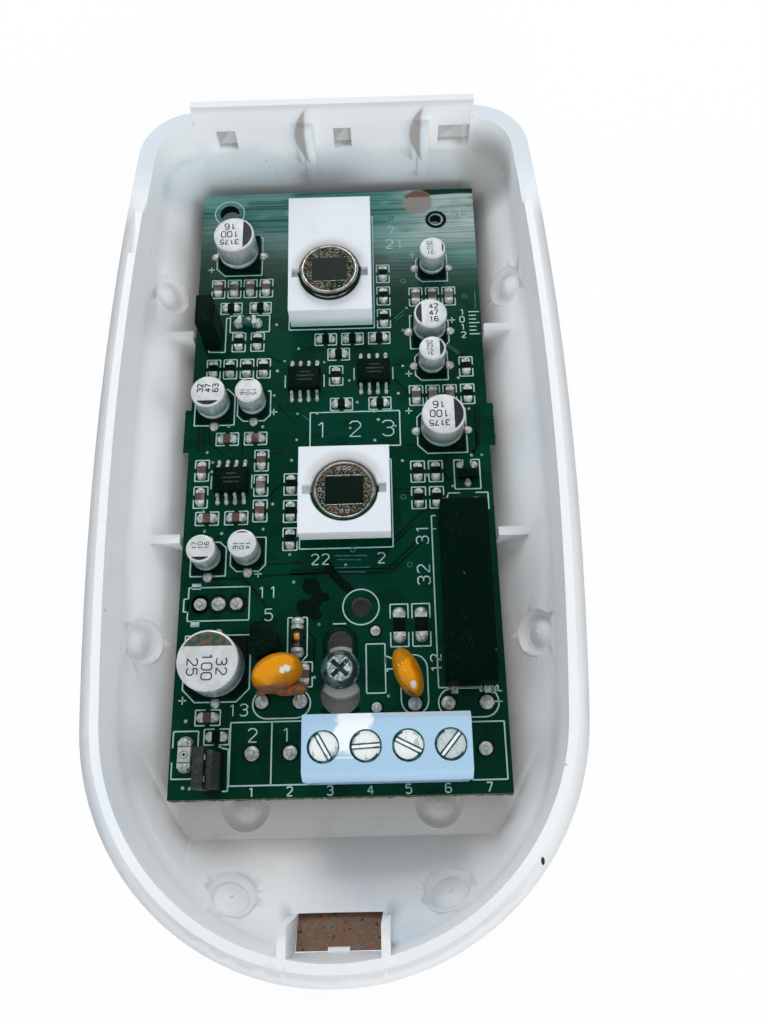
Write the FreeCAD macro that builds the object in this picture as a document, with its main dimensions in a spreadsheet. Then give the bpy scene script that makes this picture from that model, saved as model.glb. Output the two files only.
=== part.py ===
"""Opened motion detector: moulded rear housing, circuit board and everything on it, in millimetres.

The housing lies on its flat back. X runs to the right, Y runs up the board towards the tongue end,
Z runs out of the back. The origin is the middle of the bounding box, on the back face.
"""
import FreeCAD, Part
import math
import os
import re
import Sketcher

document = FreeCAD.newDocument("MotionDetector")
sheet = document.addObject("Spreadsheet::Sheet", "Sizes")

# Driving sizes: alias and number. Places on the board are measured from the board's centre.
SIZES = {
    # rear housing outline
    "case_length": 122.2,
    "case_width": 64.0,
    "end_radius": 30.5,
    "corner_radius": 8.5,
    "widest_at": 7.4,
    # rear housing section
    "floor_thick": 2.0,
    "rim_height": 18.2,
    "ridge_height": 1.0,
    "ridge_outset": 1.5,
    "wall_thick": 2.6,
    "wall_draft": 0.6,
    "wall_foot": 11.5,
    "slope_top": 9.6,
    "slope_inset": 3.4,
    "floor_half": 21.4,
    "floor_bottom": 45.9,
    "floor_top": 56.3,
    "floor_corner": 1.2,
    "bevel_height": 11.2,
    "bevel_out": 1.0,
    "ridge_end": 41.7,
    # tongue end
    "tongue_half": 21.6,
    "tongue_height": 3.6,
    "snap_depth": 1.6,
    "snap_bottom": 12.7,
    "snap_height": 4.2,
    "snap_left_x": -17.2,
    "snap_left_width": 3.1,
    "snap_mid_x": 1.2,
    "snap_mid_width": 2.8,
    "snap_right_x": 18.9,
    "snap_right_width": 5.0,
    "fin_depth": 1.4,
    "fin_thick": 1.4,
    "fin_sweep": 5.0,
    "fin_left_x": -3.3,
    "fin_right_x": 14.9,
    "fin_top": 20.0,
    # latch end
    "latch_half": 5.2,
    "latch_top": 54.5,
    "latch_length": 4.0,
    "post_thick": 1.0,
    "post_length": 4.6,
    "bump_radius": 0.5,
    "bump_length": 2.6,
    # knockouts
    "knock_radius": 3.2,
    "knock_floor_radius": 2.3,
    "knock_depth": 0.9,
    "nipple_radius": 1.9,
    "nipple_top_radius": 0.7,
    "nipple_height": 0.6,
    "knock_upper_x": 26.3,
    "knock_upper_y": 34.8,
    "knock_lower_x": 26.6,
    "knock_lower_y": -20.6,
    "knock_floor_x": 12.8,
    "knock_floor_y": -42.0,
    "knock_end_x": 13.3,
    "knock_end_y": -52.0,
    # board seat
    "standoff": 3.4,
    "slide_gap": 0.1,
    "guide_gap": 0.3,
    "guide_thick": 1.3,
    "guide_height": 0.8,
    "guide_reach": 4.4,
    "ledge_reach": 3.0,
    "guide_upper_y": 20.6,
    "guide_lower_y": -12.7,
    "boss_radius": 3.5,
    "seat_post_radius": 2.0,
    "seat_post_x": 15.9,
    "seat_post_y": 41.5,
    # circuit board
    "board_width": 44.5,
    "board_length": 95.6,
    "board_thick": 1.6,
    "board_y": 6.7,
    "tab_out": 0.85,
    "tab_middle": 4.4,
    "tab_length": 7.0,
    "corner_hole_radius": 1.6,
    "corner_hole_x": -17.9,
    "corner_hole_y": 44.0,
    "small_hole_radius": 0.95,
    "small_hole_x": 15.9,
    "small_hole_y": 41.7,
    "ring_hole_radius": 1.35,
    "ring_hole_x": 3.0,
    "ring_hole_y": -23.0,
    "key_x": 0.1,
    "key_round_y": -34.9,
    "key_round_radius": 2.65,
    "key_slot_half": 1.57,
    "key_end_y": -27.9,
    # board screw
    "screw_y": -31.6,
    "screw_head_radius": 2.3,
    "screw_head_height": 1.6,
    "screw_crown": 0.6,
    "screw_radius": 1.4,
    "screw_play": 0.05,
    "screw_length": 4.8,
    "cross_length": 2.9,
    "cross_width": 0.6,
    "cross_depth": 0.9,
    # sensors and their holders
    "holder_width": 12.7,
    "holder_depth": 12.8,
    "holder_height": 6.1,
    "holder_plate": 3.0,
    "holder_foot_radius": 5.9,
    "sensor_seat_upper": 1.5,
    "sensor_seat_lower": 0.7,
    "holder_bore": 4.72,
    "notch_half": 5.8,
    "notch_width": 1.45,
    "notch_depth": 1.0,
    "wedge_front": 5.0,
    "wedge_back": 6.5,
    "wedge_tail": 13.2,
    "wedge_lift": 0.5,
    "sensor_upper_x": -1.0,
    "sensor_upper_y": 28.1,
    "sensor_lower_x": 1.05,
    "sensor_lower_y": -7.7,
    "flange_radius": 4.6,
    "flange_thick": 0.5,
    "can_radius": 4.4,
    "can_height": 4.75,
    "can_edge": 0.35,
    "window_length": 5.3,
    "window_width": 4.1,
    "window_thick": 0.3,
    # terminal block
    "block_x": 6.25,
    "block_y": -42.4,
    "block_depth": 7.8,
    "block_height": 10.3,
    "block_front_cut": 0.9,
    "block_front_drop": 1.7,
    "block_back_cut": 0.7,
    "terminal_pitch": 5.08,
    "block_side": 0.04,
    "entry_width": 3.8,
    "entry_height": 4.4,
    "entry_depth": 5.2,
    "entry_floor": 1.2,
    "clamp_width": 3.6,
    "clamp_depth": 4.0,
    "clamp_height": 4.0,
    "clamp_wall": 0.6,
    "head_bore": 1.95,
    "head_bore_depth": 2.0,
    "shank_bore": 1.35,
    "head_radius": 1.85,
    "head_height": 1.3,
    "head_sunk": 0.3,
    "shank_radius": 1.3,
    "slot_width": 0.6,
    "slot_depth": 0.7,
    "pin_radius": 0.5,
    "pin_hole_radius": 0.6,
    "pin_below": 1.5,
    # aluminium capacitors: four size classes
    "four_can": 4.0,
    "four_height": 5.3,
    "five_can": 5.0,
    "five_height": 5.3,
    "six_can": 6.3,
    "six_height": 5.7,
    "eight_can": 8.0,
    "eight_height": 6.2,
    "base_margin": 0.3,
    "base_thick": 1.0,
    "base_cut": 0.2,
    "can_bevel": 0.35,
    "lead_width": 0.8,
    "lead_thick": 0.2,
    "lead_out": 0.7,
    "cap_a_x": -15.9,
    "cap_a_y": 35.4,
    "cap_b_x": 14.9,
    "cap_b_y": 32.2,
    "cap_c_x": 14.1,
    "cap_c_y": 20.5,
    "cap_d_x": -18.7,
    "cap_d_y": 8.3,
    "cap_e_x": -12.8,
    "cap_e_y": 8.4,
    "cap_f_x": 14.2,
    "cap_f_y": 14.5,
    "cap_g_x": 15.3,
    "cap_g_y": 3.5,
    "cap_h_x": -18.5,
    "cap_h_y": -15.6,
    "cap_i_x": -12.9,
    "cap_i_y": -15.0,
    "cap_j_x": -16.6,
    "cap_j_y": -31.0,
    # eight-lead chips
    "ic_length": 5.0,
    "ic_depth": 3.9,
    "ic_lift": 0.15,
    "ic_thick": 1.45,
    "ic_draft": 6.0,
    "ic_pitch": 1.27,
    "ic_lead_width": 0.42,
    "ic_lead_thick": 0.2,
    "ic_lead_span": 6.0,
    "ic_lead_foot": 0.6,
    "ic_lead_height": 0.75,
    "ic_upper_left_x": -5.2,
    "ic_upper_left_y": 12.4,
    "ic_upper_right_x": 5.3,
    "ic_upper_right_y": 13.4,
    "ic_lower_left_x": -15.7,
    "ic_lower_left_y": -3.9,
    # relay
    "relay_x": 17.5,
    "relay_y": -21.7,
    "relay_width": 6.6,
    "relay_length": 25.0,
    "relay_height": 5.5,
    "relay_edge": 0.4,
    "relay_lead_upper": 1.9,
    "relay_lead_lower": 0.9,
    "relay_lead_width": 0.9,
    # discrete parts
    "transistor_x": -10.1,
    "transistor_y": -28.2,
    "transistor_radius": 2.3,
    "transistor_flat": 1.3,
    "transistor_height": 4.4,
    "transistor_lift": 1.4,
    "transistor_pitch": 1.27,
    "wire_radius": 0.3,
    "varistor_radius": 3.4,
    "varistor_half": 1.65,
    "varistor_pitch": 5.08,
    "varistor_land_y": -35.6,
    "varistor_left_x": -7.9,
    "varistor_left_y": -32.5,
    "varistor_left_z": 3.8,
    "varistor_left_yaw": 22.0,
    "varistor_left_lean": 60.0,
    "varistor_left_reach": 3.2,
    "varistor_right_x": 9.1,
    "varistor_right_y": -32.9,
    "varistor_right_z": 4.4,
    "varistor_right_yaw": 20.0,
    "varistor_right_lean": 78.0,
    "glass_x": -5.7,
    "glass_y": -27.4,
    "glass_radius": 0.75,
    "glass_length": 2.6,
    "glass_cap": 0.5,
    "glass_rim": 0.08,
    "diode_x": -14.2,
    "diode_y": 22.8,
    "diode_length": 1.6,
    "diode_depth": 1.4,
    "diode_height": 1.35,
    "diode_cap": 0.6,
    "sot_x": 18.7,
    "sot_y": -3.8,
    "sot_length": 2.9,
    "sot_depth": 1.4,
    "sot_height": 1.0,
    "sot_lead_width": 0.5,
    "sot_lead_length": 0.8,
    "sot_lead_pitch": 0.95,
    "small_lead_thick": 0.3,
    # chips and the status lamp
    "chip_length": 2.0,
    "chip_width": 1.25,
    "chip_thick": 0.5,
    "chip_end": 0.45,
    "load_left_x": 8.2,
    "load_right_x": 11.2,
    "load_y": -25.7,
    "load_length": 3.2,
    "load_width": 1.65,
    "load_end": 0.6,
    "led_x": -20.2,
    "led_y": -42.2,
    "led_length": 3.4,
    "led_width": 1.7,
    "led_height": 0.9,
    "led_end": 0.7,
    # jumpers
    "jumper_width": 2.4,
    "jumper_length": 5.0,
    "jumper_pitch": 2.54,
    "header_height": 2.5,
    "shunt_height": 5.2,
    "jumper_pin": 0.64,
    "jumper_pin_play": 0.04,
    "jumper_pin_short": 0.6,
    "jumper_upper_x": -19.5,
    "jumper_upper_y": 20.7,
    "jumper_lower_x": -16.3,
    "jumper_lower_y": -44.3,
    # bare solder lands
    "land_radius": 0.95,
    "via_radius": 0.7,
    "land_height": 0.25,
}

for row, (alias, number) in enumerate(SIZES.items(), start=1):
    sheet.set("A%d" % row, alias)
    sheet.set("B%d" % row, str(number))
    sheet.setAlias("B%d" % row, alias)
document.recompute()

BOARD_TOP = "(floor_thick + standoff + slide_gap + board_thick)"
vector = FreeCAD.Vector
pieces = []


def size(alias):
    return float(sheet.get(alias))


def bound(text):
    """Puts the sheet's name before every size in an expression."""
    return re.sub(r"[a-z_]+", lambda word: "Sizes." + word.group() if word.group() in SIZES
                  else word.group(), str(text))


def place(item, x, y, z, turn=None, axis=vector(0, 0, 1)):
    """Binds a piece's place, and its turn about an axis through its own origin."""
    if turn is not None:
        item.Placement = FreeCAD.Placement(vector(), FreeCAD.Rotation(axis, 1))
        item.setExpression("Placement.Rotation.Angle", bound(turn))
    item.setExpression("Placement.Base.x", bound(x))
    item.setExpression("Placement.Base.y", bound(y))
    item.setExpression("Placement.Base.z", bound(z))
    return item


def on_board(item, x, y, lift="0", **turn):
    """Places a piece by its spot on the board and its height over the board's top face."""
    return place(item, x, "board_y + %s" % y, "%s + %s" % (BOARD_TOP, lift), **turn)


def primitive(kind, name, **sizes):
    item = document.addObject("Part::" + kind, name)
    for key, text in sizes.items():
        item.setExpression(key, bound(text))
    return item


def block(name, length, width, height):
    return primitive("Box", name, Length=length, Width=width, Height=height)


def piece(item, label):
    """Marks an object as one of the kept pieces and gives it its name."""
    item.Label = label
    pieces.append(item)
    return item


def group(label, members):
    """Separate solids of one kind that share a piece's file."""
    item = document.addObject("Part::Compound", label)
    item.Links = members
    return piece(item, label)


def new_body(label):
    return piece(document.addObject("PartDesign::Body", label), label)


def draw(body, name, plane, corners=(), circles=(), lift=None, squares=()):
    """A sketch on one of the body's own planes: a polygon, squares and circles, all bound to sizes."""
    sketch = body.newObject("Sketcher::SketchObject", name)
    support = [item for item in body.Origin.OriginFeatures if item.Role == plane][0]
    sketch.AttachmentSupport = [(support, "")]
    sketch.MapMode = "FlatFace"
    if lift is not None:
        sketch.setExpression(".AttachmentOffset.Base.z", bound(lift))

    def pin_down(geometry, point, x, y):
        for kind, text in (("DistanceX", x), ("DistanceY", y)):
            number = sketch.addConstraint(Sketcher.Constraint(kind, -1, 1, geometry, point, 1.0))
            sketch.setExpression("Constraints[%d]" % number, bound(text))

    outlines = [corners] if corners else []
    for x, y, half_x, half_y in squares:
        signs = (("-", "-"), ("+", "-"), ("+", "+"), ("-", "+"))
        outlines.append([("%s %s (%s)" % (x, across, half_x), "%s %s (%s)" % (y, along, half_y))
                         for across, along in signs])
    for outline in outlines:
        first = sketch.GeometryCount
        count = len(outline)
        spots = [vector(9 * math.cos(2 * math.pi * step / count), 9 * math.sin(2 * math.pi * step / count), 0)
                 for step in range(count)]
        for step in range(count):
            sketch.addGeometry(Part.LineSegment(spots[step], spots[(step + 1) % count]), False)
        for step in range(count):
            following = first + (step + 1) % count
            sketch.addConstraint(Sketcher.Constraint("Coincident", first + step, 2, following, 1))
        for step, (x, y) in enumerate(outline):
            pin_down(first + step, 1, x, y)
    for x, y, radius in circles:
        number = sketch.addGeometry(Part.Circle(vector(1, 1, 0), vector(0, 0, 1), 2), False)
        pin_down(number, 3, x, y)
        constraint = sketch.addConstraint(Sketcher.Constraint("Radius", number, 2.0))
        sketch.setExpression("Constraints[%d]" % constraint, bound(radius))
    return sketch


def pad(body, name, sketch, length, middle=False, taper=None):
    feature = body.newObject("PartDesign::Pad", name)
    feature.Profile = sketch
    feature.setExpression("Length", bound(length))
    feature.Midplane = middle
    if taper is not None:
        feature.setExpression("TaperAngle", bound("-" + taper))
    return feature


def pocket(body, name, sketch, length, reverse=False):
    feature = body.newObject("PartDesign::Pocket", name)
    feature.Profile = sketch
    feature.Reversed = reverse
    feature.setExpression("Length", bound(length))
    return feature


def revolve(body, name, sketch):
    feature = body.newObject("PartDesign::Revolution", name)
    feature.Profile = sketch
    feature.ReferenceAxis = (sketch, ["V_Axis"])
    feature.Angle = 360
    return feature


# Rear housing


def side_circle():
    """Centre height and radius of the long side arcs, tangent to the round end."""
    half = size("case_width") / 2
    rise = size("widest_at") - (size("end_radius") - size("case_length") / 2)
    radius = rise ** 2 / (2 * (half - size("end_radius"))) + (half + size("end_radius")) / 2
    return half - radius, radius


def outline(inset, height):
    """The housing's outline, moved inwards by inset: a round end, bowed sides and round corners."""
    centre_x, side_radius = side_circle()
    widest = size("widest_at")
    end = vector(0, size("end_radius") - size("case_length") / 2, 0)
    corner_y = size("case_length") / 2 - size("corner_radius")
    reach = side_radius - size("corner_radius")
    corner = vector(centre_x + math.sqrt(reach ** 2 - (corner_y - widest) ** 2), corner_y, 0)
    side = vector(centre_x, widest, 0)
    low = (end - side).normalize()
    high = (corner - side).normalize()
    low_angle = math.atan2(low.y, low.x)
    split = -math.pi / 4
    end_radius = size("end_radius") - inset
    corner_radius = size("corner_radius") - inset

    def on_end(angle):
        return end + vector(math.cos(angle), math.sin(angle), 0) * end_radius

    top = corner + vector(0, corner_radius, 0)
    points = [
        (top, corner + (vector(0, 1, 0) + high).normalize() * corner_radius),
        (corner + high * corner_radius, side + (low + high).normalize() * (side_radius - inset)),
        (on_end(low_angle), on_end((low_angle + split) / 2)),
        (on_end(split), end - vector(0, end_radius, 0)),
    ]
    return mirrored_ring(points, height)


def floor_ring(half, bottom, top, cut, height):
    """The polygon where the flat floor meets the slopes, with the same eight edges as the outline."""
    points = [
        (vector(half - cut, top, 0), None),
        (vector(half, top - cut, 0), None),
        (vector(half, -bottom + cut, 0), None),
        (vector(half - cut, -bottom, 0), None),
    ]
    return mirrored_ring(points, height)


def mirrored_ring(points, height):
    """A closed wire from the right half's corners, each with the middle point of the arc after it."""
    lift = vector(0, 0, height)

    def flip(point):
        return vector(-point.x, point.y, point.z)

    def edge(start, middle, finish):
        if middle is None:
            return Part.LineSegment(start + lift, finish + lift).toShape()
        return Part.Arc(start + lift, middle + lift, finish + lift).toShape()

    right = [edge(points[step][0], points[step][1], points[step + 1][0]) for step in range(3)]
    left = [edge(flip(points[step + 1][0]), points[step][1] and flip(points[step][1]), flip(points[step][0]))
            for step in (2, 1, 0)]
    bottom = edge(points[3][0], points[3][1], flip(points[3][0]))
    top = edge(flip(points[0][0]), None, points[0][0])
    return Part.Wire(right + [bottom] + left + [top])


def stack(*rings):
    """A solid through rings of eight edges each, with straight walls between them."""
    faces = [Part.Face(rings[0]), Part.Face(rings[-1])]
    for lower, upper in zip(rings, rings[1:]):
        faces += [Part.makeRuledSurface(*pair) for pair in zip(lower.Edges, upper.Edges)]
    solid = Part.makeSolid(Part.makeShell(faces))
    if solid.Volume < 0:
        solid.reverse()
    return solid


def wall_box(x, y, z, length, width, height):
    """A box from its middle in X, its lower side in Y and its foot in Z."""
    return Part.makeBox(length, width, height, vector(x - length / 2, y, z))


def make_housing():
    floor = size("floor_thick")
    rim = size("rim_height")
    ridge_top = rim + size("ridge_height")
    wall = size("wall_thick")
    half_length = size("case_length") / 2
    board_y = size("board_y")
    clear = 10.0

    back_ring = floor_ring(size("floor_half") + size("bevel_out"), size("floor_bottom") + size("bevel_out"),
                           size("floor_top") + size("bevel_out"), size("floor_corner"), 0)
    outer = stack(back_ring, outline(size("wall_draft"), size("bevel_height")), outline(0, rim))
    inner_floor = floor_ring(size("floor_half"), size("floor_bottom"), size("floor_top"),
                             size("floor_corner"), floor)
    hollow = stack(inner_floor, outline(size("slope_inset"), size("slope_top")),
                   outline(wall, size("wall_foot")))
    mouth = Part.Face(outline(wall, size("wall_foot"))).extrude(vector(0, 0, rim + clear))
    tub = outer.cut(hollow).cut(mouth)

    # locating ridge round the sides and the round end, and the taller tongue at the other end
    band = Part.Face(outline(size("ridge_outset"), rim)).cut(Part.Face(outline(wall, rim)))
    ridge = band.extrude(vector(0, 0, size("ridge_height")))
    ridge = ridge.cut(wall_box(0, size("ridge_end"), rim, 2 * size("case_width"), half_length, clear))
    tongue = band.extrude(vector(0, 0, size("tongue_height")))
    tongue = tongue.common(wall_box(0, half_length - wall - 1, rim, 2 * size("tongue_half"), clear, clear))
    body = tub.fuse([ridge, tongue])

    # fins on the inside of the tongue end, hollow on their left side
    inside = half_length - wall
    for spot in ("fin_left_x", "fin_right_x"):
        x = size(spot)
        tip = inside - size("fin_depth")
        start = vector(x - size("fin_sweep"), inside, floor)
        crest = vector(x - size("fin_thick"), tip, floor)
        bend = vector(x - size("fin_thick") - size("fin_sweep") * 0.22, inside - size("fin_depth") * 0.42, floor)
        rim_right = vector(x, tip, floor)
        back_right = vector(x, inside + 1, floor)
        back_left = vector(x - size("fin_sweep"), inside + 1, floor)
        sides = [Part.Arc(start, bend, crest).toShape()]
        loop = [crest, rim_right, back_right, back_left, start]
        sides += [Part.LineSegment(a, b).toShape() for a, b in zip(loop, loop[1:])]
        fin = Part.Face(Part.Wire(sides)).extrude(vector(0, 0, size("fin_top") - floor))
        body = body.fuse(fin.common(outer.fuse(tongue)))

    # snap recesses in the tongue end's inner face
    for side in ("left", "mid", "right"):
        recess = wall_box(size("snap_%s_x" % side), inside - 1, size("snap_bottom"),
                          size("snap_%s_width" % side), 1 + size("snap_depth"), size("snap_height"))
        body = body.cut(recess)

    # board guides: a ledge under the board's edge and an upright beside it
    seat = floor + size("standoff")
    board_top = seat + size("slide_gap") + size("board_thick")
    edge = size("board_width") / 2 + size("guide_gap")
    supports = []
    for row in ("guide_upper_y", "guide_lower_y"):
        y = board_y + size(row) - size("guide_thick") / 2
        for sign in (-1, 1):
            upright = wall_box(sign * (edge + size("guide_reach") / 2), y, floor / 2, size("guide_reach"),
                               size("guide_thick"), board_top + size("guide_height") - floor / 2)
            ledge = wall_box(sign * (edge - size("ledge_reach") / 2), y, floor / 2, size("ledge_reach"),
                             size("guide_thick"), seat - floor / 2)
            supports += [upright.fuse(ledge).common(outer)]
    screw_y = board_y + size("screw_y")
    supports.append(Part.makeCylinder(size("boss_radius"), seat - floor / 2,
                                      vector(size("key_x"), screw_y, floor / 2)))
    for sign in (-1, 1):
        spot = vector(sign * size("seat_post_x"), board_y + size("seat_post_y"), floor / 2)
        supports.append(Part.makeCylinder(size("seat_post_radius"), seat - floor / 2, spot))

    # latch end: two posts beside the slot
    envelope = outer.fuse(Part.Face(outline(size("ridge_outset"), rim - 1)).extrude(
        vector(0, 0, 1 + size("ridge_height"))))
    post_y = size("ridge_outset") + 0.3 - half_length
    for sign in (-1, 1):
        x = sign * (size("latch_half") + size("post_thick") / 2)
        post = wall_box(x, post_y, floor / 2, size("post_thick"), size("post_length"), ridge_top - floor / 2)
        supports.append(post.common(envelope))
    body = body.fuse(supports)

    # screw hole in the boss, latch slot through the slope
    hole = size("screw_radius") + size("screw_play")
    body = body.cut(Part.makeCylinder(hole, seat, vector(size("key_x"), screw_y, floor / 2)))
    slot = wall_box(0, -size("latch_top") - size("latch_length"), -1, 2 * size("latch_half"),
                    size("latch_length"), ridge_top)
    body = body.cut(slot)
    bump = Part.makeCylinder(size("bump_radius"), size("bump_length"),
                             vector(-size("bump_length") / 2, -half_length + wall, size("slope_top")),
                             vector(1, 0, 0))
    body = body.fuse(bump)

    # knockouts: a shallow cone with a nipple in its middle, square to the surface it lies in
    def surface(x, y):
        line = Part.makeLine(vector(x, y, -1), vector(x, y, rim + 1))
        return vector(x, y, min(point.Z for point in hollow.common(line).Vertexes))

    for spot in ("upper", "lower", "floor", "end"):
        for sign in (-1, 1):
            x = sign * size("knock_%s_x" % spot)
            y = size("knock_%s_y" % spot)
            here = surface(x, y)
            step = 0.2
            along = surface(x + step, y) - here
            across = surface(x, y + step) - here
            normal = along.cross(across).normalize()
            lip = 0.3
            cone = Part.makeCone(size("knock_floor_radius"), size("knock_radius"), size("knock_depth"),
                                 here - normal * size("knock_depth"), normal)
            open_end = Part.makeCylinder(size("knock_radius"), lip, here, normal)
            nipple = Part.makeCone(size("nipple_radius"), size("nipple_top_radius"), size("nipple_height"),
                                   here - normal * size("knock_depth"), normal)
            body = body.cut(cone.fuse(open_end)).fuse(nipple)
    return body.removeSplitter()


housing = document.addObject("Part::Feature", "rear_housing")
housing.Shape = make_housing()
piece(housing, "rear_housing")

# Board screw: pan head with a cross recess

screw = new_body("board_screw")
profile = draw(screw, "ScrewProfile", "XZ_Plane", [
    ("0", "-screw_length"), ("screw_radius", "-screw_length"), ("screw_radius", "0"),
    ("screw_head_radius", "0"), ("screw_head_radius", "screw_head_height - screw_crown"),
    ("screw_head_radius - screw_crown", "screw_head_height"), ("0", "screw_head_height")])
revolve(screw, "ScrewTurned", profile)
long_half = "cross_length / 2"
thin_half = "cross_width / 2"
cross = draw(screw, "CrossRecess", "XY_Plane", lift="screw_head_height", corners=[
    ("-" + long_half, "-" + thin_half), ("-" + thin_half, "-" + thin_half),
    ("-" + thin_half, "-" + long_half), (thin_half, "-" + long_half),
    (thin_half, "-" + thin_half), (long_half, "-" + thin_half),
    (long_half, thin_half), (thin_half, thin_half),
    (thin_half, long_half), ("-" + thin_half, long_half),
    ("-" + thin_half, thin_half), ("-" + long_half, thin_half)])
pocket(screw, "CrossCut", cross, "cross_depth")
on_board(screw, "key_x", "screw_y", "slide_gap", turn="15")

# Circuit board with its broken-off tabs, holes and keyhole slot

board = new_body("circuit_board")
right = "board_width / 2"
out = "board_width / 2 + tab_out"
end = "board_length / 2"
tab_low = "tab_middle - tab_length / 2"
tab_high = "tab_middle + tab_length / 2"
board_outline = draw(board, "BoardOutline", "XY_Plane", [
    ("-" + right, "-" + end), (right, "-" + end), (right, tab_low), (out, tab_low),
    (out, tab_high), (right, tab_high), (right, end), ("-" + right, end),
    ("-" + right, tab_high), ("-board_width / 2 - tab_out", tab_high),
    ("-board_width / 2 - tab_out", tab_low), ("-" + right, tab_low)])
pad(board, "BoardSheet", board_outline, "board_thick")
terminal_spots = ["block_x + terminal_pitch * %s" % step for step in (-1.5, -0.5, 0.5, 1.5)]
holes = [("corner_hole_x", "corner_hole_y", "corner_hole_radius"),
         ("small_hole_x", "small_hole_y", "small_hole_radius"),
         ("ring_hole_x", "ring_hole_y", "ring_hole_radius"),
         ("key_x", "key_round_y", "key_round_radius")]
holes += [(spot, "block_y", "pin_hole_radius") for spot in terminal_spots]
pocket(board, "BoardHoles", draw(board, "HoleCircles", "XY_Plane", circles=holes), "board_thick", True)
key_slot = draw(board, "KeySlot", "XY_Plane", squares=[
    ("key_x", "(key_end_y + key_round_y) / 2", "key_slot_half", "(key_end_y - key_round_y) / 2")])
pocket(board, "KeySlotCut", key_slot, "board_thick", True)
key_end = draw(board, "KeyEnd", "XY_Plane", circles=[("key_x", "key_end_y", "key_slot_half")])
pocket(board, "KeyEndCut", key_end, "board_thick", True)
on_board(board, "0", "0", "-board_thick")

# Sensor holders: the upper one is a wedge, the lower one a plate on a round foot

HOLDER_HALF = "holder_width / 2"
NOTCH = [("0", "0", "notch_half", "notch_width / 2")]

upper_holder = new_body("sensor_holder_upper")
front = "-holder_depth / 2"
wedge = draw(upper_holder, "WedgeSide", "YZ_Plane", [
    (front, "wedge_lift"), (front, "wedge_front"), ("wedge_tail", "wedge_back"), ("wedge_tail", "0"),
    ("wedge_lift - holder_depth / 2", "0")])
pad(upper_holder, "WedgeBlock", wedge, "holder_width", middle=True)
bore = draw(upper_holder, "UpperBore", "XY_Plane", circles=[("0", "0", "holder_bore")], lift="wedge_back")
pocket(upper_holder, "UpperBoreCut", bore, "wedge_back - sensor_seat_upper")
notch = draw(upper_holder, "UpperNotch", "XY_Plane", squares=NOTCH, lift="wedge_back")
pocket(upper_holder, "UpperNotchCut", notch, "wedge_back - wedge_front + notch_depth / 2")
on_board(upper_holder, "sensor_upper_x", "sensor_upper_y")

lower_holder = new_body("sensor_holder_lower")
foot = draw(lower_holder, "HolderFoot", "XY_Plane", circles=[("0", "0", "holder_foot_radius")])
pad(lower_holder, "FootRound", foot, "holder_height - holder_plate / 2")
plate = draw(lower_holder, "HolderPlate", "XY_Plane", lift="holder_height - holder_plate",
             squares=[("0", "0", HOLDER_HALF, "holder_depth / 2")])
pad(lower_holder, "PlateSquare", plate, "holder_plate")
bore = draw(lower_holder, "LowerBore", "XY_Plane", circles=[("0", "0", "holder_bore")], lift="holder_height")
pocket(lower_holder, "LowerBoreCut", bore, "holder_height - sensor_seat_lower")
notch = draw(lower_holder, "LowerNotch", "XY_Plane", squares=NOTCH, lift="holder_height")
pocket(lower_holder, "LowerNotchCut", notch, "notch_depth")
on_board(lower_holder, "sensor_lower_x", "sensor_lower_y")

# Pyroelectric sensors: a flanged can with a window set into its top

for level in ("upper", "lower"):
    spot_x = "sensor_%s_x" % level
    spot_y = "sensor_%s_y" % level
    can = new_body("pyro_can_" + level)
    profile = draw(can, "CanProfile" + level, "XZ_Plane", [
        ("0", "0"), ("flange_radius", "0"), ("flange_radius", "flange_thick"),
        ("can_radius", "flange_thick"), ("can_radius", "can_height - can_edge"),
        ("can_radius - can_edge", "can_height"), ("0", "can_height")])
    revolve(can, "CanTurned" + level, profile)
    seat = draw(can, "WindowSeat" + level, "XY_Plane", lift="can_height",
                squares=[("0", "0", "window_length / 2", "window_width / 2")])
    pocket(can, "WindowSeatCut" + level, seat, "window_thick")
    on_board(can, spot_x, spot_y, "sensor_seat_" + level)
    window = piece(block("Window" + level, "window_length", "window_width", "window_thick"),
                   "pyro_window_" + level)
    on_board(window, spot_x + " - window_length / 2", spot_y + " - window_width / 2",
             "sensor_seat_%s + can_height - window_thick" % level)

# Four-way terminal block with its screws, and its contacts: a clamp frame and a pin for each way

terminal = new_body("terminal_block")
back = "block_depth / 2"
side = draw(terminal, "BlockSide", "YZ_Plane", [
    ("-" + back, "0"), ("-" + back, "block_height - block_front_drop"),
    ("block_front_cut - block_depth / 2", "block_height"), (back + " - block_back_cut", "block_height"),
    (back, "block_height - block_back_cut"), (back, "0")])
pad(terminal, "BlockBar", side, "terminal_pitch * 4 + block_side * 2", middle=True)
ways = ["terminal_pitch * %s" % step for step in (-1.5, -0.5, 0.5, 1.5)]
heads = draw(terminal, "HeadBores", "XY_Plane", lift="block_height", circles=[(way, "0", "head_bore") for way in ways])
pocket(terminal, "HeadBoreCuts", heads, "head_bore_depth")
shanks = draw(terminal, "ShankBores", "XY_Plane", lift="block_height", circles=[(way, "0", "shank_bore") for way in ways])
pocket(terminal, "ShankBoreCuts", shanks, "block_height - entry_floor - entry_height / 2")
entries = draw(terminal, "WireEntries", "XZ_Plane", lift=back, squares=[
    (way, "entry_floor + entry_height / 2", "entry_width / 2", "entry_height / 2") for way in ways])
pocket(terminal, "WireEntryCuts", entries, "block_depth / 2 + clamp_depth / 2")
on_board(terminal, "block_x", "block_y")

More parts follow.
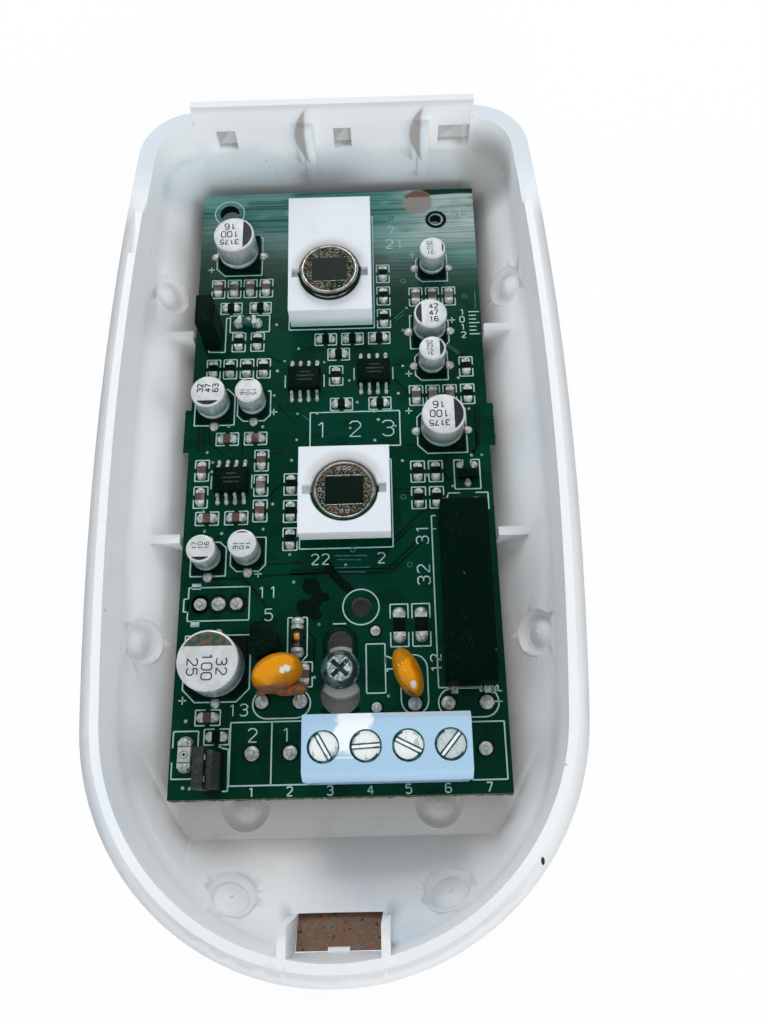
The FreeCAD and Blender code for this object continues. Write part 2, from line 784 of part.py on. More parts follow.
contacts = []
for number, (way, turn) in enumerate(zip(ways, ("-60", "3", "-27", "50")), start=1):
    frame = block("ClampFrame%d" % number, "clamp_width", "clamp_depth", "clamp_height")
    on_board(frame, "block_x + %s - clamp_width / 2" % way, "block_y - clamp_depth / 2", "entry_floor")
    gap = block("ClampGap%d" % number, "clamp_width - clamp_wall * 2", "clamp_depth",
                "clamp_height - clamp_wall * 2")
    on_board(gap, "block_x + %s - clamp_width / 2 + clamp_wall" % way, "block_y - clamp_depth / 2",
             "entry_floor + clamp_wall")
    clamp = document.addObject("Part::Cut", "Clamp%d" % number)
    clamp.Base = frame
    clamp.Tool = gap
    contacts.append(clamp)
    pin = primitive("Cylinder", "Pin%d" % number, Radius="pin_radius", Height="board_thick + pin_below")
    on_board(pin, "block_x + %s" % way, "block_y", "-board_thick - pin_below")
    contacts.append(pin)
    screw = new_body("terminal_screw_%d" % number)
    profile = draw(screw, "TerminalScrewProfile%d" % number, "XZ_Plane", [
        ("0", "entry_floor + clamp_height"), ("shank_radius", "entry_floor + clamp_height"),
        ("shank_radius", "block_height - head_sunk - head_height"),
        ("head_radius", "block_height - head_sunk - head_height"),
        ("head_radius", "block_height - head_sunk"), ("0", "block_height - head_sunk")])
    revolve(screw, "TerminalScrewTurned%d" % number, profile)
    slot = draw(screw, "TerminalSlot%d" % number, "XY_Plane", lift="block_height - head_sunk",
                squares=[("0", "0", "head_radius", "slot_width / 2")])
    pocket(screw, "TerminalSlotCut%d" % number, slot, "slot_depth")
    on_board(screw, "block_x + " + way, "block_y", turn=turn)
group("terminal_contacts", contacts)

# Aluminium capacitors: letter, size class and the side of the plus lead

CAPACITORS = [("a", "six", 180), ("b", "four", 180), ("c", "five", 0), ("d", "five", 90), ("e", "four", -90),
              ("f", "four", 180), ("g", "six", 180), ("h", "four", 90), ("i", "four", -90), ("j", "eight", -90)]
capacitor_leads = []
for letter, kind, plus in CAPACITORS:
    spot = ("cap_%s_x" % letter, "cap_%s_y" % letter)
    radius = "%s_can / 2" % kind
    half = "(%s_can / 2 + base_margin / 2)" % kind
    cut = "%s_can * base_cut" % kind
    can = new_body("capacitor_can_" + letter)
    profile = draw(can, "CapCanProfile_" + letter, "XZ_Plane", [
        ("0", "base_thick"), (radius, "base_thick"), (radius, kind + "_height - can_bevel"),
        (radius + " - can_bevel", kind + "_height"), ("0", kind + "_height")])
    revolve(can, "CapCanTurned_" + letter, profile)
    on_board(can, *spot, turn=str(plus))
    base = new_body("capacitor_base_" + letter)
    plan = draw(base, "CapBasePlan_" + letter, "XY_Plane", [
        ("-" + half, "-" + half), ("%s - %s" % (half, cut), "-" + half), (half, "%s - %s" % (cut, half)),
        (half, "%s - %s" % (half, cut)), ("%s - %s" % (half, cut), half), ("-" + half, half)])
    pad(base, "CapBaseSheet_" + letter, plan, "base_thick - lead_thick")
    on_board(base, *spot, lift="lead_thick", turn=str(plus))
    for sign, name in ((-1, "minus"), (1, "plus")):
        lead = block("CapLead_%s_%s" % (letter, name), "lead_out * 2", "lead_width", "lead_thick")
        reach = "(%s - lead_out)" % half if sign > 0 else "(-%s - lead_out)" % half
        cosine = round(math.cos(math.radians(plus)))
        sine = round(math.sin(math.radians(plus)))
        x = "%s + %d * %s + %d * lead_width / 2" % (spot[0], cosine, reach, sine)
        y = "%s + %d * %s - %d * lead_width / 2" % (spot[1], sine, reach, cosine)
        on_board(lead, x, y, turn=str(plus))
        capacitor_leads.append(lead)
group("capacitor_leads", capacitor_leads)

# Eight-lead chips with gull-wing leads

ic_leads = []
for name in ("upper_left", "upper_right", "lower_left"):
    spot = ("ic_%s_x" % name, "ic_%s_y" % name)
    chip = new_body("ic_" + name)
    plan = draw(chip, "IcPlan_" + name, "XY_Plane", squares=[("0", "0", "ic_length / 2", "ic_depth / 2")])
    pad(chip, "IcBlock_" + name, plan, "ic_thick", taper="ic_draft")
    on_board(chip, *spot, lift="ic_lift")
    for sign in (-1, 1):
        for step in (-1.5, -0.5, 0.5, 1.5):
            tag = "%s_%d_%d" % (name, sign, 2 * step)
            foot = block("IcFoot_" + tag, "ic_lead_width", "(ic_lead_span - ic_depth) / 2", "ic_lead_thick")
            x = "%s + ic_pitch * %s - ic_lead_width / 2" % (spot[0], step)
            inner = "%s + ic_depth / 2" % spot[1] if sign > 0 else "%s - ic_lead_span / 2" % spot[1]
            on_board(foot, x, inner)
            riser = block("IcRiser_" + tag, "ic_lead_width", "(ic_lead_span - ic_depth) / 2 - ic_lead_foot",
                          "ic_lead_height")
            inner = ("%s + ic_depth / 2" % spot[1] if sign > 0
                     else "%s - ic_lead_span / 2 + ic_lead_foot" % spot[1])
            on_board(riser, x, inner)
            lead = document.addObject("Part::Fuse", "IcLead_" + tag)
            lead.Base = foot
            lead.Tool = riser
            lead.Refine = True
            ic_leads.append(lead)
group("ic_leads", ic_leads)

# Relay, transistor, varistors, diodes

relay = new_body("relay")
plan = draw(relay, "RelayPlan", "XY_Plane", squares=[("0", "0", "relay_width / 2", "relay_length / 2")])
pad(relay, "RelayBlock", plan, "relay_height")
on_board(relay, "relay_x", "relay_y")

transistor = new_body("transistor")
plan = draw(transistor, "TransistorRound", "XY_Plane", circles=[("0", "0", "transistor_radius")])
pad(transistor, "TransistorPost", plan, "transistor_height")
flat = draw(transistor, "TransistorFlat", "XY_Plane", squares=[
    ("0", "transistor_flat + transistor_radius", "transistor_radius * 2", "transistor_radius")])
pocket(transistor, "TransistorFlatCut", flat, "transistor_height", True)
on_board(transistor, "transistor_x", "transistor_y", "transistor_lift", turn="90")

discs = {}
for side, angles in (("left", "varistor_left_yaw; 0; varistor_left_lean"),
                     ("right", "varistor_right_yaw; varistor_right_lean; 0")):
    disc = primitive("Ellipsoid", "Disc_" + side, Radius1="varistor_half", Radius2="varistor_radius",
                     Radius3="varistor_radius")
    spot = "vector(varistor_%s_x; board_y + varistor_%s_y; %s + varistor_%s_z)" % (side, side, BOARD_TOP, side)
    disc.setExpression("Placement", bound("placement(%s; rotation(%s))" % (spot, angles)))
    discs[side] = piece(disc, "varistor_" + side)

glass = primitive("Cylinder", "GlassBarrel", Radius="glass_radius", Height="glass_length")
piece(glass, "glass_diode")
on_board(glass, "glass_x", "glass_y + glass_length / 2", "glass_radius + glass_rim", turn="90",
         axis=vector(1, 0, 0))

diode = piece(block("DiodeBlock", "diode_length", "diode_depth", "diode_height"), "small_diode")
on_board(diode, "diode_x - diode_length / 2", "diode_y - diode_depth / 2")
sot = piece(block("SotBlock", "sot_length", "sot_depth", "sot_height"), "small_transistor")
on_board(sot, "sot_x - sot_length / 2", "sot_y - sot_depth / 2", "small_lead_thick")

# Leads of the discrete parts, one separate solid each

leads = []


def lead_box(name, x, y, z, length, width, height):
    leads.append(on_board(block(name, length, width, height), "%s - %s / 2" % (x, length),
                          "%s - %s / 2" % (y, width), z))


def lead_wire(name, x, y, height, lift="0", lean=None, into=None):
    """A round lead; one that runs into a body ends at the body's surface."""
    wire = on_board(primitive("Cylinder", name, Radius="wire_radius", Height=height), x, y, lift,
                    turn=lean, axis=vector(1, 0, 0))
    if into is not None:
        whole = wire
        wire = document.addObject("Part::Cut", name + "End")
        wire.Base = whole
        wire.Tool = into
    leads.append(wire)


for step in (-1, 0, 1):
    lead_wire("TransistorLead%d" % step, "transistor_x", "transistor_y + transistor_pitch * %d" % step,
              "transistor_lift")
for sign, name in ((-1, "Low"), (1, "High")):
    lead_box("DiodeCap" + name, "diode_x + %d * (diode_length / 2 + diode_cap / 2)" % sign, "diode_y", "0",
             "diode_cap", "diode_depth", "diode_height")
    cap = primitive("Cylinder", "GlassCap" + name, Radius="glass_radius + glass_rim", Height="glass_cap")
    on_board(cap, "glass_x", "glass_y + %d * (glass_length / 2 + glass_cap / 2) + glass_cap / 2" % sign,
             "glass_radius + glass_rim", turn="90", axis=vector(1, 0, 0))
    leads.append(cap)
    lead_box("SotLead" + name, "sot_x + %d * sot_lead_pitch" % sign, "sot_y + sot_depth / 2", "0",
             "sot_lead_width", "sot_lead_length * 2", "small_lead_thick")
    lead_wire("LeftVaristorLead" + name, "varistor_left_x + %d * varistor_pitch / 2" % sign,
              "varistor_land_y + wire_radius", "varistor_left_reach", "land_height + wire_radius",
              "-45 - varistor_left_yaw * %s" % (0.5 * sign), discs["left"])
    lead_wire("RightVaristorLead" + name, "varistor_right_x - %d * varistor_pitch / 6" % sign,
              "varistor_right_y + %d * varistor_pitch / 2" % sign, "varistor_right_z - varistor_radius / 3",
              "land_height", None, discs["right"])
lead_box("SotLeadLone", "sot_x", "sot_y - sot_depth / 2", "0", "sot_lead_width", "sot_lead_length * 2",
         "small_lead_thick")
for sign, reach in ((-1, "relay_lead_lower"), (1, "relay_lead_upper")):
    for step in (-1, 1):
        lead_box("RelayLead_%d_%d" % (sign, step), "relay_x + %d * relay_width / 3" % step,
                 "relay_y + %d * (relay_length / 2 + %s / 2)" % (sign, reach), "0",
                 "relay_lead_width", reach, "small_lead_thick")
group("component_leads", leads)

# Chips: rows of x, y, step in x, step in y, how many, and whether they lie along X

CAPACITOR_ROWS = [(-19.1, 29.3, 2.54, 0, 4, False), (12.2, 26.9, 2.6, 0, 3, False),
                  (-11.4, -0.6, 0, -3.95, 3, False), (-20.1, -2.0, 0, -4.2, 2, False),
                  (11.7, 9.45, 2.54, 0, 3, False), (-16.6, 3.0, 4.2, 0, 2, True),
                  (-19.0, -9.5, 4.2, 0, 2, True), (-4.7, -32.1, 0, 0, 1, False),
                  (-17.5, -37.5, 0, 0, 1, True)]
RESISTOR_ROWS = [(7.1, 31.4, 0, -4.15, 3, False), (-15.5, 19.5, 2.9, 0, 2, False),
                 (-19.2, 14.8, 2.56, 0, 4, False), (-0.4, 13.2, 0, 0, 1, False),
                 (19.45, 14.2, 0, -4.7, 2, False), (-7.0, -4.5, 0, -4.2, 3, False),
                 (11.5, -3.0, 2.6, 0, 2, False), (11.5, -7.1, 2.6, 0, 2, False),
                 (-16.9, 25.65, 4.6, 0, 2, True), (-2.0, 19.6, 4.15, 0, 3, True),
                 (0.0, 16.9, 0, 0, 1, True), (0.4, 8.3, 5.8, 0, 2, True), (-16.2, -40.0, 0, 0, 1, True)]
chip_ends = []


def chip(name, x, y, length, width, height, end, along):
    """A chip's middle and its two metal ends; along turns it from Y to X."""
    middle = "(%s - %s * 2)" % (length, end)
    turn = {"turn": "90"} if along else {}
    half_x = "%s / 2" % (middle if along else width)
    half_y = "%s / 2" % (width if along else middle)
    x_start = "%s + %s" % (x, half_x) if along else "%s - %s" % (x, half_x)
    core = on_board(block(name, width, middle, height), x_start, "%s - %s" % (y, half_y), **turn)
    for sign in (-1, 1):
        reach = "%d * (%s / 2 - %s / 2)" % (sign, length, end)
        end_x = "%s + %s + %s / 2" % (x, reach, end) if along else "%s - %s / 2" % (x, width)
        end_y = "%s - %s / 2" % (y, width) if along else "%s + %s - %s / 2" % (y, reach, end)
        cap = block("%s_%s" % (name, "low" if sign < 0 else "high"), width, end, height)
        chip_ends.append(on_board(cap, end_x, end_y, **turn))
    return core


for label, rows in (("chip_capacitors", CAPACITOR_ROWS), ("chip_resistors", RESISTOR_ROWS)):
    cores = []
    for row, (x, y, step_x, step_y, count, along) in enumerate(rows):
        for number in range(count):
            cores.append(chip("%s_%d_%d" % (label, row, number), x + step_x * number, y + step_y * number,
                              "chip_length", "chip_width", "chip_thick", "chip_end", along))
    group(label, cores)
for name in ("left", "right"):
    core = chip("load_" + name, "load_%s_x" % name, "load_y", "load_length", "load_width", "chip_thick",
                "load_end", False)
    piece(core, "load_resistor_" + name)
piece(chip("lamp", "led_x", "led_y", "led_length", "led_width", "led_height", "led_end", False), "status_led")
group("chip_ends", chip_ends)

# Jumpers: header, two pins and a shunt pushed over them

jumper_pins = []
for level in ("upper", "lower"):
    spot = ("jumper_%s_x" % level, "jumper_%s_y" % level)
    pin_holes = [("0", "%s * jumper_pitch / 2" % sign, "jumper_pin / 2 + jumper_pin_play",
                  "jumper_pin / 2 + jumper_pin_play") for sign in ("-1", "1")]
    for name, height, lift in (("header", "header_height", "0"), ("shunt", "shunt_height", "header_height")):
        moulding = new_body("jumper_%s_%s" % (name, level))
        plan = draw(moulding, "JumperPlan_%s_%s" % (name, level), "XY_Plane",
                    squares=[("0", "0", "jumper_width / 2", "jumper_length / 2")])
        pad(moulding, "JumperBlock_%s_%s" % (name, level), plan, height)
        openings = draw(moulding, "JumperHoles_%s_%s" % (name, level), "XY_Plane", squares=pin_holes)
        pocket(moulding, "JumperHoleCuts_%s_%s" % (name, level), openings, height, True)
        on_board(moulding, *spot, lift=lift)
    for sign in (-1, 1):
        pin = block("JumperPin_%s_%d" % (level, sign), "jumper_pin", "jumper_pin",
                    "header_height + shunt_height - jumper_pin_short")
        on_board(pin, spot[0] + " - jumper_pin / 2",
                 "%s + %d * jumper_pitch / 2 - jumper_pin / 2" % (spot[1], sign))
        jumper_pins.append(pin)
group("jumper_pins", jumper_pins)

# Bare solder lands

LANDS = [(-11.5, -42.2), (-6.5, -42.2), (19.0, -42.2), (-19.3, -22.1), (-16.8, -22.1), (-14.3, -22.1),
         (14.4, -36.3), (19.5, -36.3), (-10.4, -35.6), (-5.3, -35.6), (10.0, -36.3)]
VIAS = [(4.9, -26.4), (4.9, -36.7)]
lands = []
for spots, radius in ((LANDS, "land_radius"), (VIAS, "via_radius")):
    for x, y in spots:
        land = primitive("Cylinder", "Land%d" % len(lands), Radius=radius, Height="land_height")
        lands.append(on_board(land, x, y))
group("solder_joints", lands)

document.recompute()

# Every object has to be sound before anything is written

for item in document.Objects:
    if "Invalid" in item.State or "Error" in item.State:
        raise RuntimeError("%s didn't build: %s" % (item.Name, item.State))
for item in pieces:
    if item.Shape.isNull() or not item.Shape.isValid() or not item.Shape.Solids:
        raise RuntimeError("%s has no sound shape" % item.Label)

os.makedirs("parts", exist_ok=True)
for item in pieces:
    item.Shape.exportStep("parts/%s.step" % item.Label)
print(len(pieces), "pieces,", sum(len(item.Shape.Solids) for item in pieces), "solids")
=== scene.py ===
import math
import random

import bmesh
import bpy
from mathutils import Matrix, Vector
from mathutils.bvhtree import BVHTree


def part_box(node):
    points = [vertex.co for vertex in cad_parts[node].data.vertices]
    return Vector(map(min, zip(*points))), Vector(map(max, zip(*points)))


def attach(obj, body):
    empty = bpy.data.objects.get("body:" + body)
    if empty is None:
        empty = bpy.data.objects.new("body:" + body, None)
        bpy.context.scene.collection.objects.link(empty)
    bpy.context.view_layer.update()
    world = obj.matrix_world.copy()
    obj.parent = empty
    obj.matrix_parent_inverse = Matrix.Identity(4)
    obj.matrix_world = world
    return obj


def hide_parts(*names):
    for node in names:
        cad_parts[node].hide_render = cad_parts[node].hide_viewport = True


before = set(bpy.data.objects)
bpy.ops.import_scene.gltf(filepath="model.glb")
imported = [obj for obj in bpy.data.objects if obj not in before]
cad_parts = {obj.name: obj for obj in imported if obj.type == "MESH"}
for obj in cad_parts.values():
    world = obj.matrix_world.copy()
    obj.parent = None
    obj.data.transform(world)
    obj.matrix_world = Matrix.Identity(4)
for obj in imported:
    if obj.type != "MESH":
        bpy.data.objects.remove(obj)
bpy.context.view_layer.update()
mm = 0.001
boardLow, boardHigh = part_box("circuit_board")
boardMiddle = (boardLow + boardHigh) / 2
boardTop = boardHigh.z
boardHalf = (boardHigh - boardLow) / 2


def onBoard(x, y, z=0.0):  # millimetres from the middle of the board's top face
    return Vector((boardMiddle.x + x * mm, boardMiddle.y + y * mm, boardTop + z * mm))


def boardPlace(place):  # the other way round, in millimetres
    return (place.x - boardMiddle.x) / mm, (place.y - boardMiddle.y) / mm


def middleOf(node):
    low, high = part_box(node)
    return (low + high) / 2


def addNode(tree, kind, settings, sockets):  # settings first, then the values or links of its sockets
    made = tree.nodes.new(kind)
    for key, value in settings.items():
        setattr(made, key, value)
    for socket, value in sockets.items():
        if isinstance(value, bpy.types.NodeSocket):
            tree.links.new(value, made.inputs[socket])
        else:
            made.inputs[socket].default_value = value
    return made


# Materials: a number that changes over a surface, and a finish made of such numbers

class Field:
    def __init__(self, finish, socket):
        self.finish, self.socket = finish, socket

    def maths(self, operation, *values):
        return self.finish.node("ShaderNodeMath", {"operation": operation}, dict(enumerate(values)))

    def __add__(self, other):
        return self.maths("ADD", self, other)

    def __sub__(self, other):
        return self.maths("SUBTRACT", self, other)

    def __rsub__(self, other):
        return self.maths("SUBTRACT", other, self)

    def __mul__(self, other):
        return self.maths("MULTIPLY", self, other)

    def __truediv__(self, other):
        return self.maths("DIVIDE", self, other)

    __radd__ = __add__
    __rmul__ = __mul__

    def __abs__(self):
        return self.maths("ABSOLUTE", self)

    def root(self):
        return self.maths("SQRT", self)

    def step(self, start, finish):  # 0 before start, 1 after finish, smooth between them
        return self.finish.node("ShaderNodeMapRange", {"interpolation_type": "SMOOTHSTEP"},
                                {"Value": self, "From Min": start, "From Max": finish}, "Result")


finishes = {}
shaderSockets = {"rough": "Roughness", "shine": "Specular IOR Level", "metal": "Metallic",
                 "coat": "Coat Weight", "coatRough": "Coat Roughness", "coatIndex": "Coat IOR"}


class Finish:
    def __init__(self, name, colour, **settings):
        self.material = bpy.data.materials.new(name)
        self.material.use_nodes = True
        self.tree = self.material.node_tree
        self.shader = next(node for node in self.tree.nodes if node.type == "BSDF_PRINCIPLED")
        self.place = self.node("ShaderNodeTexCoord", {}, {}, "Object")
        self.colour = colour
        self.height = None
        for setting, value in settings.items():
            self.shader.inputs[shaderSockets[setting]].default_value = value

    def node(self, kind, settings, sockets, output=0):
        sockets = {key: value.socket if isinstance(value, Field) else value for key, value in sockets.items()}
        return Field(self, addNode(self.tree, kind, settings, sockets).outputs[output])

    def axis(self, letter):  # a place in mm along one axis of the object
        return self.node("ShaderNodeSeparateXYZ", {}, {0: self.place}, letter) / mm

    def facing(self, part="Z"):  # share of the surface's own direction along an axis
        direction = self.node("ShaderNodeNewGeometry", {}, {}, "Normal")
        return self.node("ShaderNodeSeparateXYZ", {}, {0: direction}, part)

    def noise(self, grain, detail, stretch=(1, 1, 1)):  # grain is the size of a blotch in mm
        place = self.node("ShaderNodeMapping", {}, {"Vector": self.place, "Scale": stretch})
        sockets = {"Vector": place, "Scale": 1 / (grain * mm), "Detail": detail}
        return self.node("ShaderNodeTexNoise", {}, sockets)

    def cells(self, grain):
        return self.node("ShaderNodeTexVoronoi", {}, {"Vector": self.place, "Scale": 1 / (grain * mm)},
                         "Distance")

    def away(self, x, y):  # distance in mm from an upright line through x, y of the board
        spot = onBoard(x, y) / mm
        across = self.axis("X") - spot.x
        along = self.axis("Y") - spot.y
        return (across * across + along * along).root()

    def tint(self, other, share):  # mixes another colour in where share is high
        first = self.colour if isinstance(self.colour, Field) else (*self.colour, 1)
        self.colour = self.node("ShaderNodeMix", {"data_type": "RGBA"},
                                {0: share, 6: first, 7: (*other, 1)}, 2)

    def blotch(self, other, grain, detail, start, end, share=1.0, stretch=(1, 1, 1)):  # tint by noise
        self.tint(other, self.noise(grain, detail, stretch).step(start, end) * share)

    def wander(self, grain, detail, change, least):  # the roughness
        self.vary("Roughness", self.noise(grain, detail) * change + least)

    def vary(self, socket, field):
        self.tree.links.new(field.socket, self.shader.inputs[socket])

    def bump(self, field, depth):  # depth in mm
        self.height = field * depth if self.height is None else self.height + field * depth

    def grit(self, grain, detail, depth, stretch=(1, 1, 1)):
        self.bump(self.noise(grain, detail, stretch), depth)

    def done(self):
        if isinstance(self.colour, Field):
            self.vary("Base Color", self.colour)
        else:
            self.shader.inputs["Base Color"].default_value = (*self.colour, 1)
        if self.height is not None:
            self.vary("Normal", self.node("ShaderNodeBump", {}, {"Distance": mm, "Height": self.height}))
        finishes[self.material.name] = self.material


def plain(name, colour, *blotches, wander=None, grit=None, **settings):
    finish = Finish(name, colour, **settings)
    for blotch in blotches:
        finish.blotch(*blotch)
    if wander:
        finish.wander(*wander)
    if grit:
        finish.grit(*grit)
    finish.done()


def housingPlastic():
    # the colours and share here are painted shade inside the housing
    look = {"shade": 0.85, "cool": (0.50, 0.60, 0.66), "warm": (0.43, 0.42, 0.40),
            "dim": (0.44, 0.425, 0.405), "pale": (0.80, 0.775, 0.75), "grimeAndShade": (0.42, 0.40, 0.37)}
    finish = Finish("housingPlastic", (0.835, 0.865, 0.89), rough=0.36, shine=0.5)
    finish.blotch((0.84, 0.86, 0.87), 34.0, 2.0, 0.4, 0.65, 1.0, (1, 0.4, 1))
    finish.blotch((0.62, 0.77, 0.89), 13.0, 3.0, 0.55, 0.72, 0.35, (1, 0.6, 1))
    x, y, z = finish.axis("X"), finish.axis("Y"), finish.axis("Z")
    drift = finish.noise(7.0, 3.0) * 6.0 - 3.0
    towards = finish.facing("X") * x + finish.facing("Y") * y  # below nought where a wall faces the inside
    upward = finish.facing().step(0.3, 0.5)
    inside = upward + towards.step(-1.0, -6.0) * finish.facing().step(-0.7, -0.5) * (1 - upward)
    tongue = y.step(48.0, 53.0) * inside
    # painted shade on the inner walls of the tongue end: cooler low down, warmer round its right-hand
    # recesses
    finish.tint(look["cool"], tongue * (z + drift).step(14.5, 10.0) * 0.55)
    finish.tint(look["warm"], tongue * (x + drift).step(18.0, 24.0) * z.step(18.0, 13.0) * 0.8)
    # painted shade on the fins' left faces and on the back faces of the recesses behind them
    fins = y.step(56.8, 57.4) * abs(x).step(21.0, 20.0)
    finish.tint((0.40, 0.37, 0.35), fins * finish.facing("X").step(-0.2, -0.6) * 0.8)
    top = fins * y.step(59.2, 59.7) * z.step(17.0, 16.0) * finish.facing("Y").step(0.5, 0)
    finish.tint((0.52, 0.54, 0.53), top * 0.8)
    # painted shade along the top of the tongue
    finish.tint((0.62, 0.65, 0.67), z.step(20.4, 21.4) * 0.6)
    reach = (z - 15.8) * (1 / 5.2)
    bulge = 1 - reach * reach
    behind = y.step(56.6, 57.0)
    for place in (-3.3, 14.9):  # the hollow of each fin lies in shade on its left
        aside = abs(x + bulge * 1.4 - (place - 0.8))
        finish.tint((0.60, 0.71, 0.79), (bulge * 1.5 + 0.9 - aside).step(0.0, 1.4) * behind * 0.6)
        finish.tint((0.39, 0.35, 0.33), (bulge + 0.1 - aside).step(0.0, 0.5) * behind * 0.92)
    # painted shade on the rim's top, at the upper right corner and along the lower end
    rim = z.step(16.8, 17.6) * z.step(19.4, 18.9) * finish.facing().step(0.4, 0.7)
    along = y + drift * 0.4
    finish.tint((0.62, 0.68, 0.74), rim * along.step(40.0, 52.0) * x.step(36.0, 30.0))
    finish.tint((0.66, 0.68, 0.70), rim * along.step(-46.0, -56.0))
    # painted shade on the floor and low inner walls, deeper in the upper half than in the lower; grime
    # mottles it
    depth = z.step(9.0, 2.2) * inside
    finish.tint(look["dim"], depth * (y + drift).step(-18.0, 8.0) * look["shade"])
    finish.tint(look["pale"], depth * (y + drift).step(-2.0, -26.0) * look["shade"])
    finish.tint(look["grimeAndShade"], finish.noise(3.2, 5.0).step(0.57, 0.75) * depth * 0.2)
    # painted light on the floor under the board's hole at (16.1, 43.1) and round the keyhole, and painted
    # teal light near (2.97, -23)
    lit = z.step(1.9, 2.1) * inside
    low = z.step(6.5, 6.0) * lit
    finish.tint((0.9, 0.92, 0.93), finish.away(16.1, 43.1).step(2.4, 2.0) * lit)
    finish.tint((0.93, 0.92, 0.90), finish.away(0.1, -34.0).step(5.5, 4.0) * low)
    finish.tint((0.66, 0.78, 0.74), finish.away(2.97, -23.0).step(4.5, 3.0) * low)
    speck = finish.cells(5.5).step(0.055, 0.03) * finish.noise(9.0, 1.0).step(0.55, 0.6)
    finish.tint((0.22, 0.20, 0.18), speck * 0.7)
    finish.wander(6.0, 4.0, 0.16, 0.29)
    finish.grit(0.35, 2.0, 0.006)
    finish.grit(7.0, 2.0, 0.05)
    finish.done()


def maskedBoard():
    look = {"pour": (0.0, 0.034, 0.017), "bare": (0.0, 0.024, 0.011), "edge": (0.26, 0.24, 0.16),
            "glareStrip": (0.03, 0.18, 0.16), "bright": (0.14, 0.34, 0.31), "corner": (0.55, 0.66, 0.64)}
    finish = Finish("maskedBoard", look["pour"], rough=0.2, shine=0.06, coatIndex=1.7, coatRough=0.15)
    finish.blotch((0.0, 0.044, 0.025), 11.0, 2.0, 0.42, 0.62)
    finish.blotch(look["bare"], 4.4, 1.0, 0.58, 0.63, 0.6, (1, 1.6, 1))
    x = finish.axis("X")
    above = finish.axis("Y") - boardMiddle.y / mm
    wander = finish.noise(12.0, 2.0, (1, 0.5, 1)) * 14.0 - 7.0
    glareStrip = (above + x * 0.16 + wander * 0.5).step(28.5, 44.0)  # painted reflection: a paler teal strip, in rows, towards the tongue end
    rows = finish.noise(0.34, 1.0, (0.02, 1, 1)).step(0.38, 0.58)
    smear = finish.noise(5.0, 2.0, (0.5, 1, 1)).step(0.5, 0.56)
    finish.tint(look["glareStrip"], glareStrip * (rows * 0.75 + 0.2))
    finish.tint(look["bright"], glareStrip * glareStrip * (smear * 0.5 + rows * 0.3 + 0.25))
    finish.vary("Coat Weight", glareStrip * 0.12)
    # painted reflection at the upper right corner of the board
    right = (x + wander * 0.5).step(8.0, 18.0) * (above + wander * 0.3).step(34.0, 42.0)
    finish.tint(look["corner"], right * (rows * 0.4 + smear * 0.2 + 0.38))
    finish.tint((0.0, 0.036, 0.018), x.step(13.0, 14.5) * (above + wander * 0.1).step(46.5, 46.8))
    spot = (finish.away(13.1, 45.3) + finish.noise(1.6, 2.0) * 0.7).step(2.9, 2.5)
    finish.tint((0.34, 0.30, 0.27), spot * 0.9)
    finish.tint((0.17, 0.085, 0.05), spot * (above + finish.noise(1.4, 2.0)).step(46.6, 46.9) * 0.9)
    side = abs(finish.facing()).step(0.6, 0.4)
    finish.tint(look["edge"], side)
    finish.tint((0.13, 0.06, 0.03), side * finish.noise(0.5, 4.0, (1, 1, 3)).step(0.5, 0.66) * 0.7)
    for place in ((-17.9, 44.0, 1.85), (16.0, 41.7, 1.2)):  # painted shade on the walls of two holes
        finish.tint((0.004, 0.022, 0.018), finish.away(*place[:2]).step(place[2], place[2] - 0.1) * side)
    finish.vary("Roughness", finish.noise(2.6, 3.0) * 0.08 + side * 0.5 + 0.14)
    finish.grit(0.28, 1.0, 0.004, (1, 0.25, 1))
    finish.grit(0.28, 1.0, 0.004, (0.25, 1, 1))
    finish.bump(rows * glareStrip, 0.01)
    finish.grit(16.0, 2.0, 0.04)
    finish.done()


def screwSlots():  # bright heads with a greyer streak; painted shade on their sides and below their tops
    finish = Finish("screwSlots", (0.93, 0.96, 0.96), metal=0.25, rough=0.3)
    finish.blotch((0.42, 0.55, 0.54), 1.1, 4.0, 0.56, 0.62, 0.8, (1, 0.5, 1))
    finish.tint((0.46, 0.58, 0.58), finish.axis("X").step(10.6, 13.2) * 0.7)
    finish.tint((0.05, 0.12, 0.11), abs(finish.facing()).step(0.9, 0.5) * 0.8)
    level = finish.axis("Z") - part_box("terminal_screw_1")[1].z / mm
    finish.tint((0.03, 0.09, 0.085), level.step(-0.06, -0.14) * 0.8)
    finish.wander(0.5, 3.0, 0.2, 0.2)
    finish.grit(0.5, 3.0, 0.012)
    finish.done()


def screwSteel():
    finish = Finish("screwSteel", (0.84, 0.87, 0.87), metal=0.4, rough=0.22)
    finish.blotch((0.20, 0.36, 0.34), 0.75, 4.0, 0.44, 0.52, 0.85)
    finish.blotch((0.01, 0.075, 0.068), 0.4, 4.0, 0.57, 0.61, 0.85)
    # painted shade in the cross recess, with painted glints in it
    recess = (finish.axis("Z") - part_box("board_screw")[1].z / mm).step(-0.12, -0.3)
    finish.tint((0.008, 0.07, 0.062), recess * 0.95)
    finish.tint((0.80, 0.84, 0.84), recess * finish.noise(0.7, 2.0).step(0.6, 0.64) * 0.8)
    # painted shade round the rim of the head, in patches
    border = finish.away(0.1, -31.6).step(1.55, 1.9)
    finish.tint((0.14, 0.20, 0.18), border * 0.9)
    finish.tint((0.02, 0.03, 0.028), border * finish.noise(2.6, 2.0).step(0.49, 0.56) * 0.85)
    finish.wander(0.3, 3.0, 0.25, 0.12)
    finish.grit(0.6, 4.0, 0.05)
    finish.done()


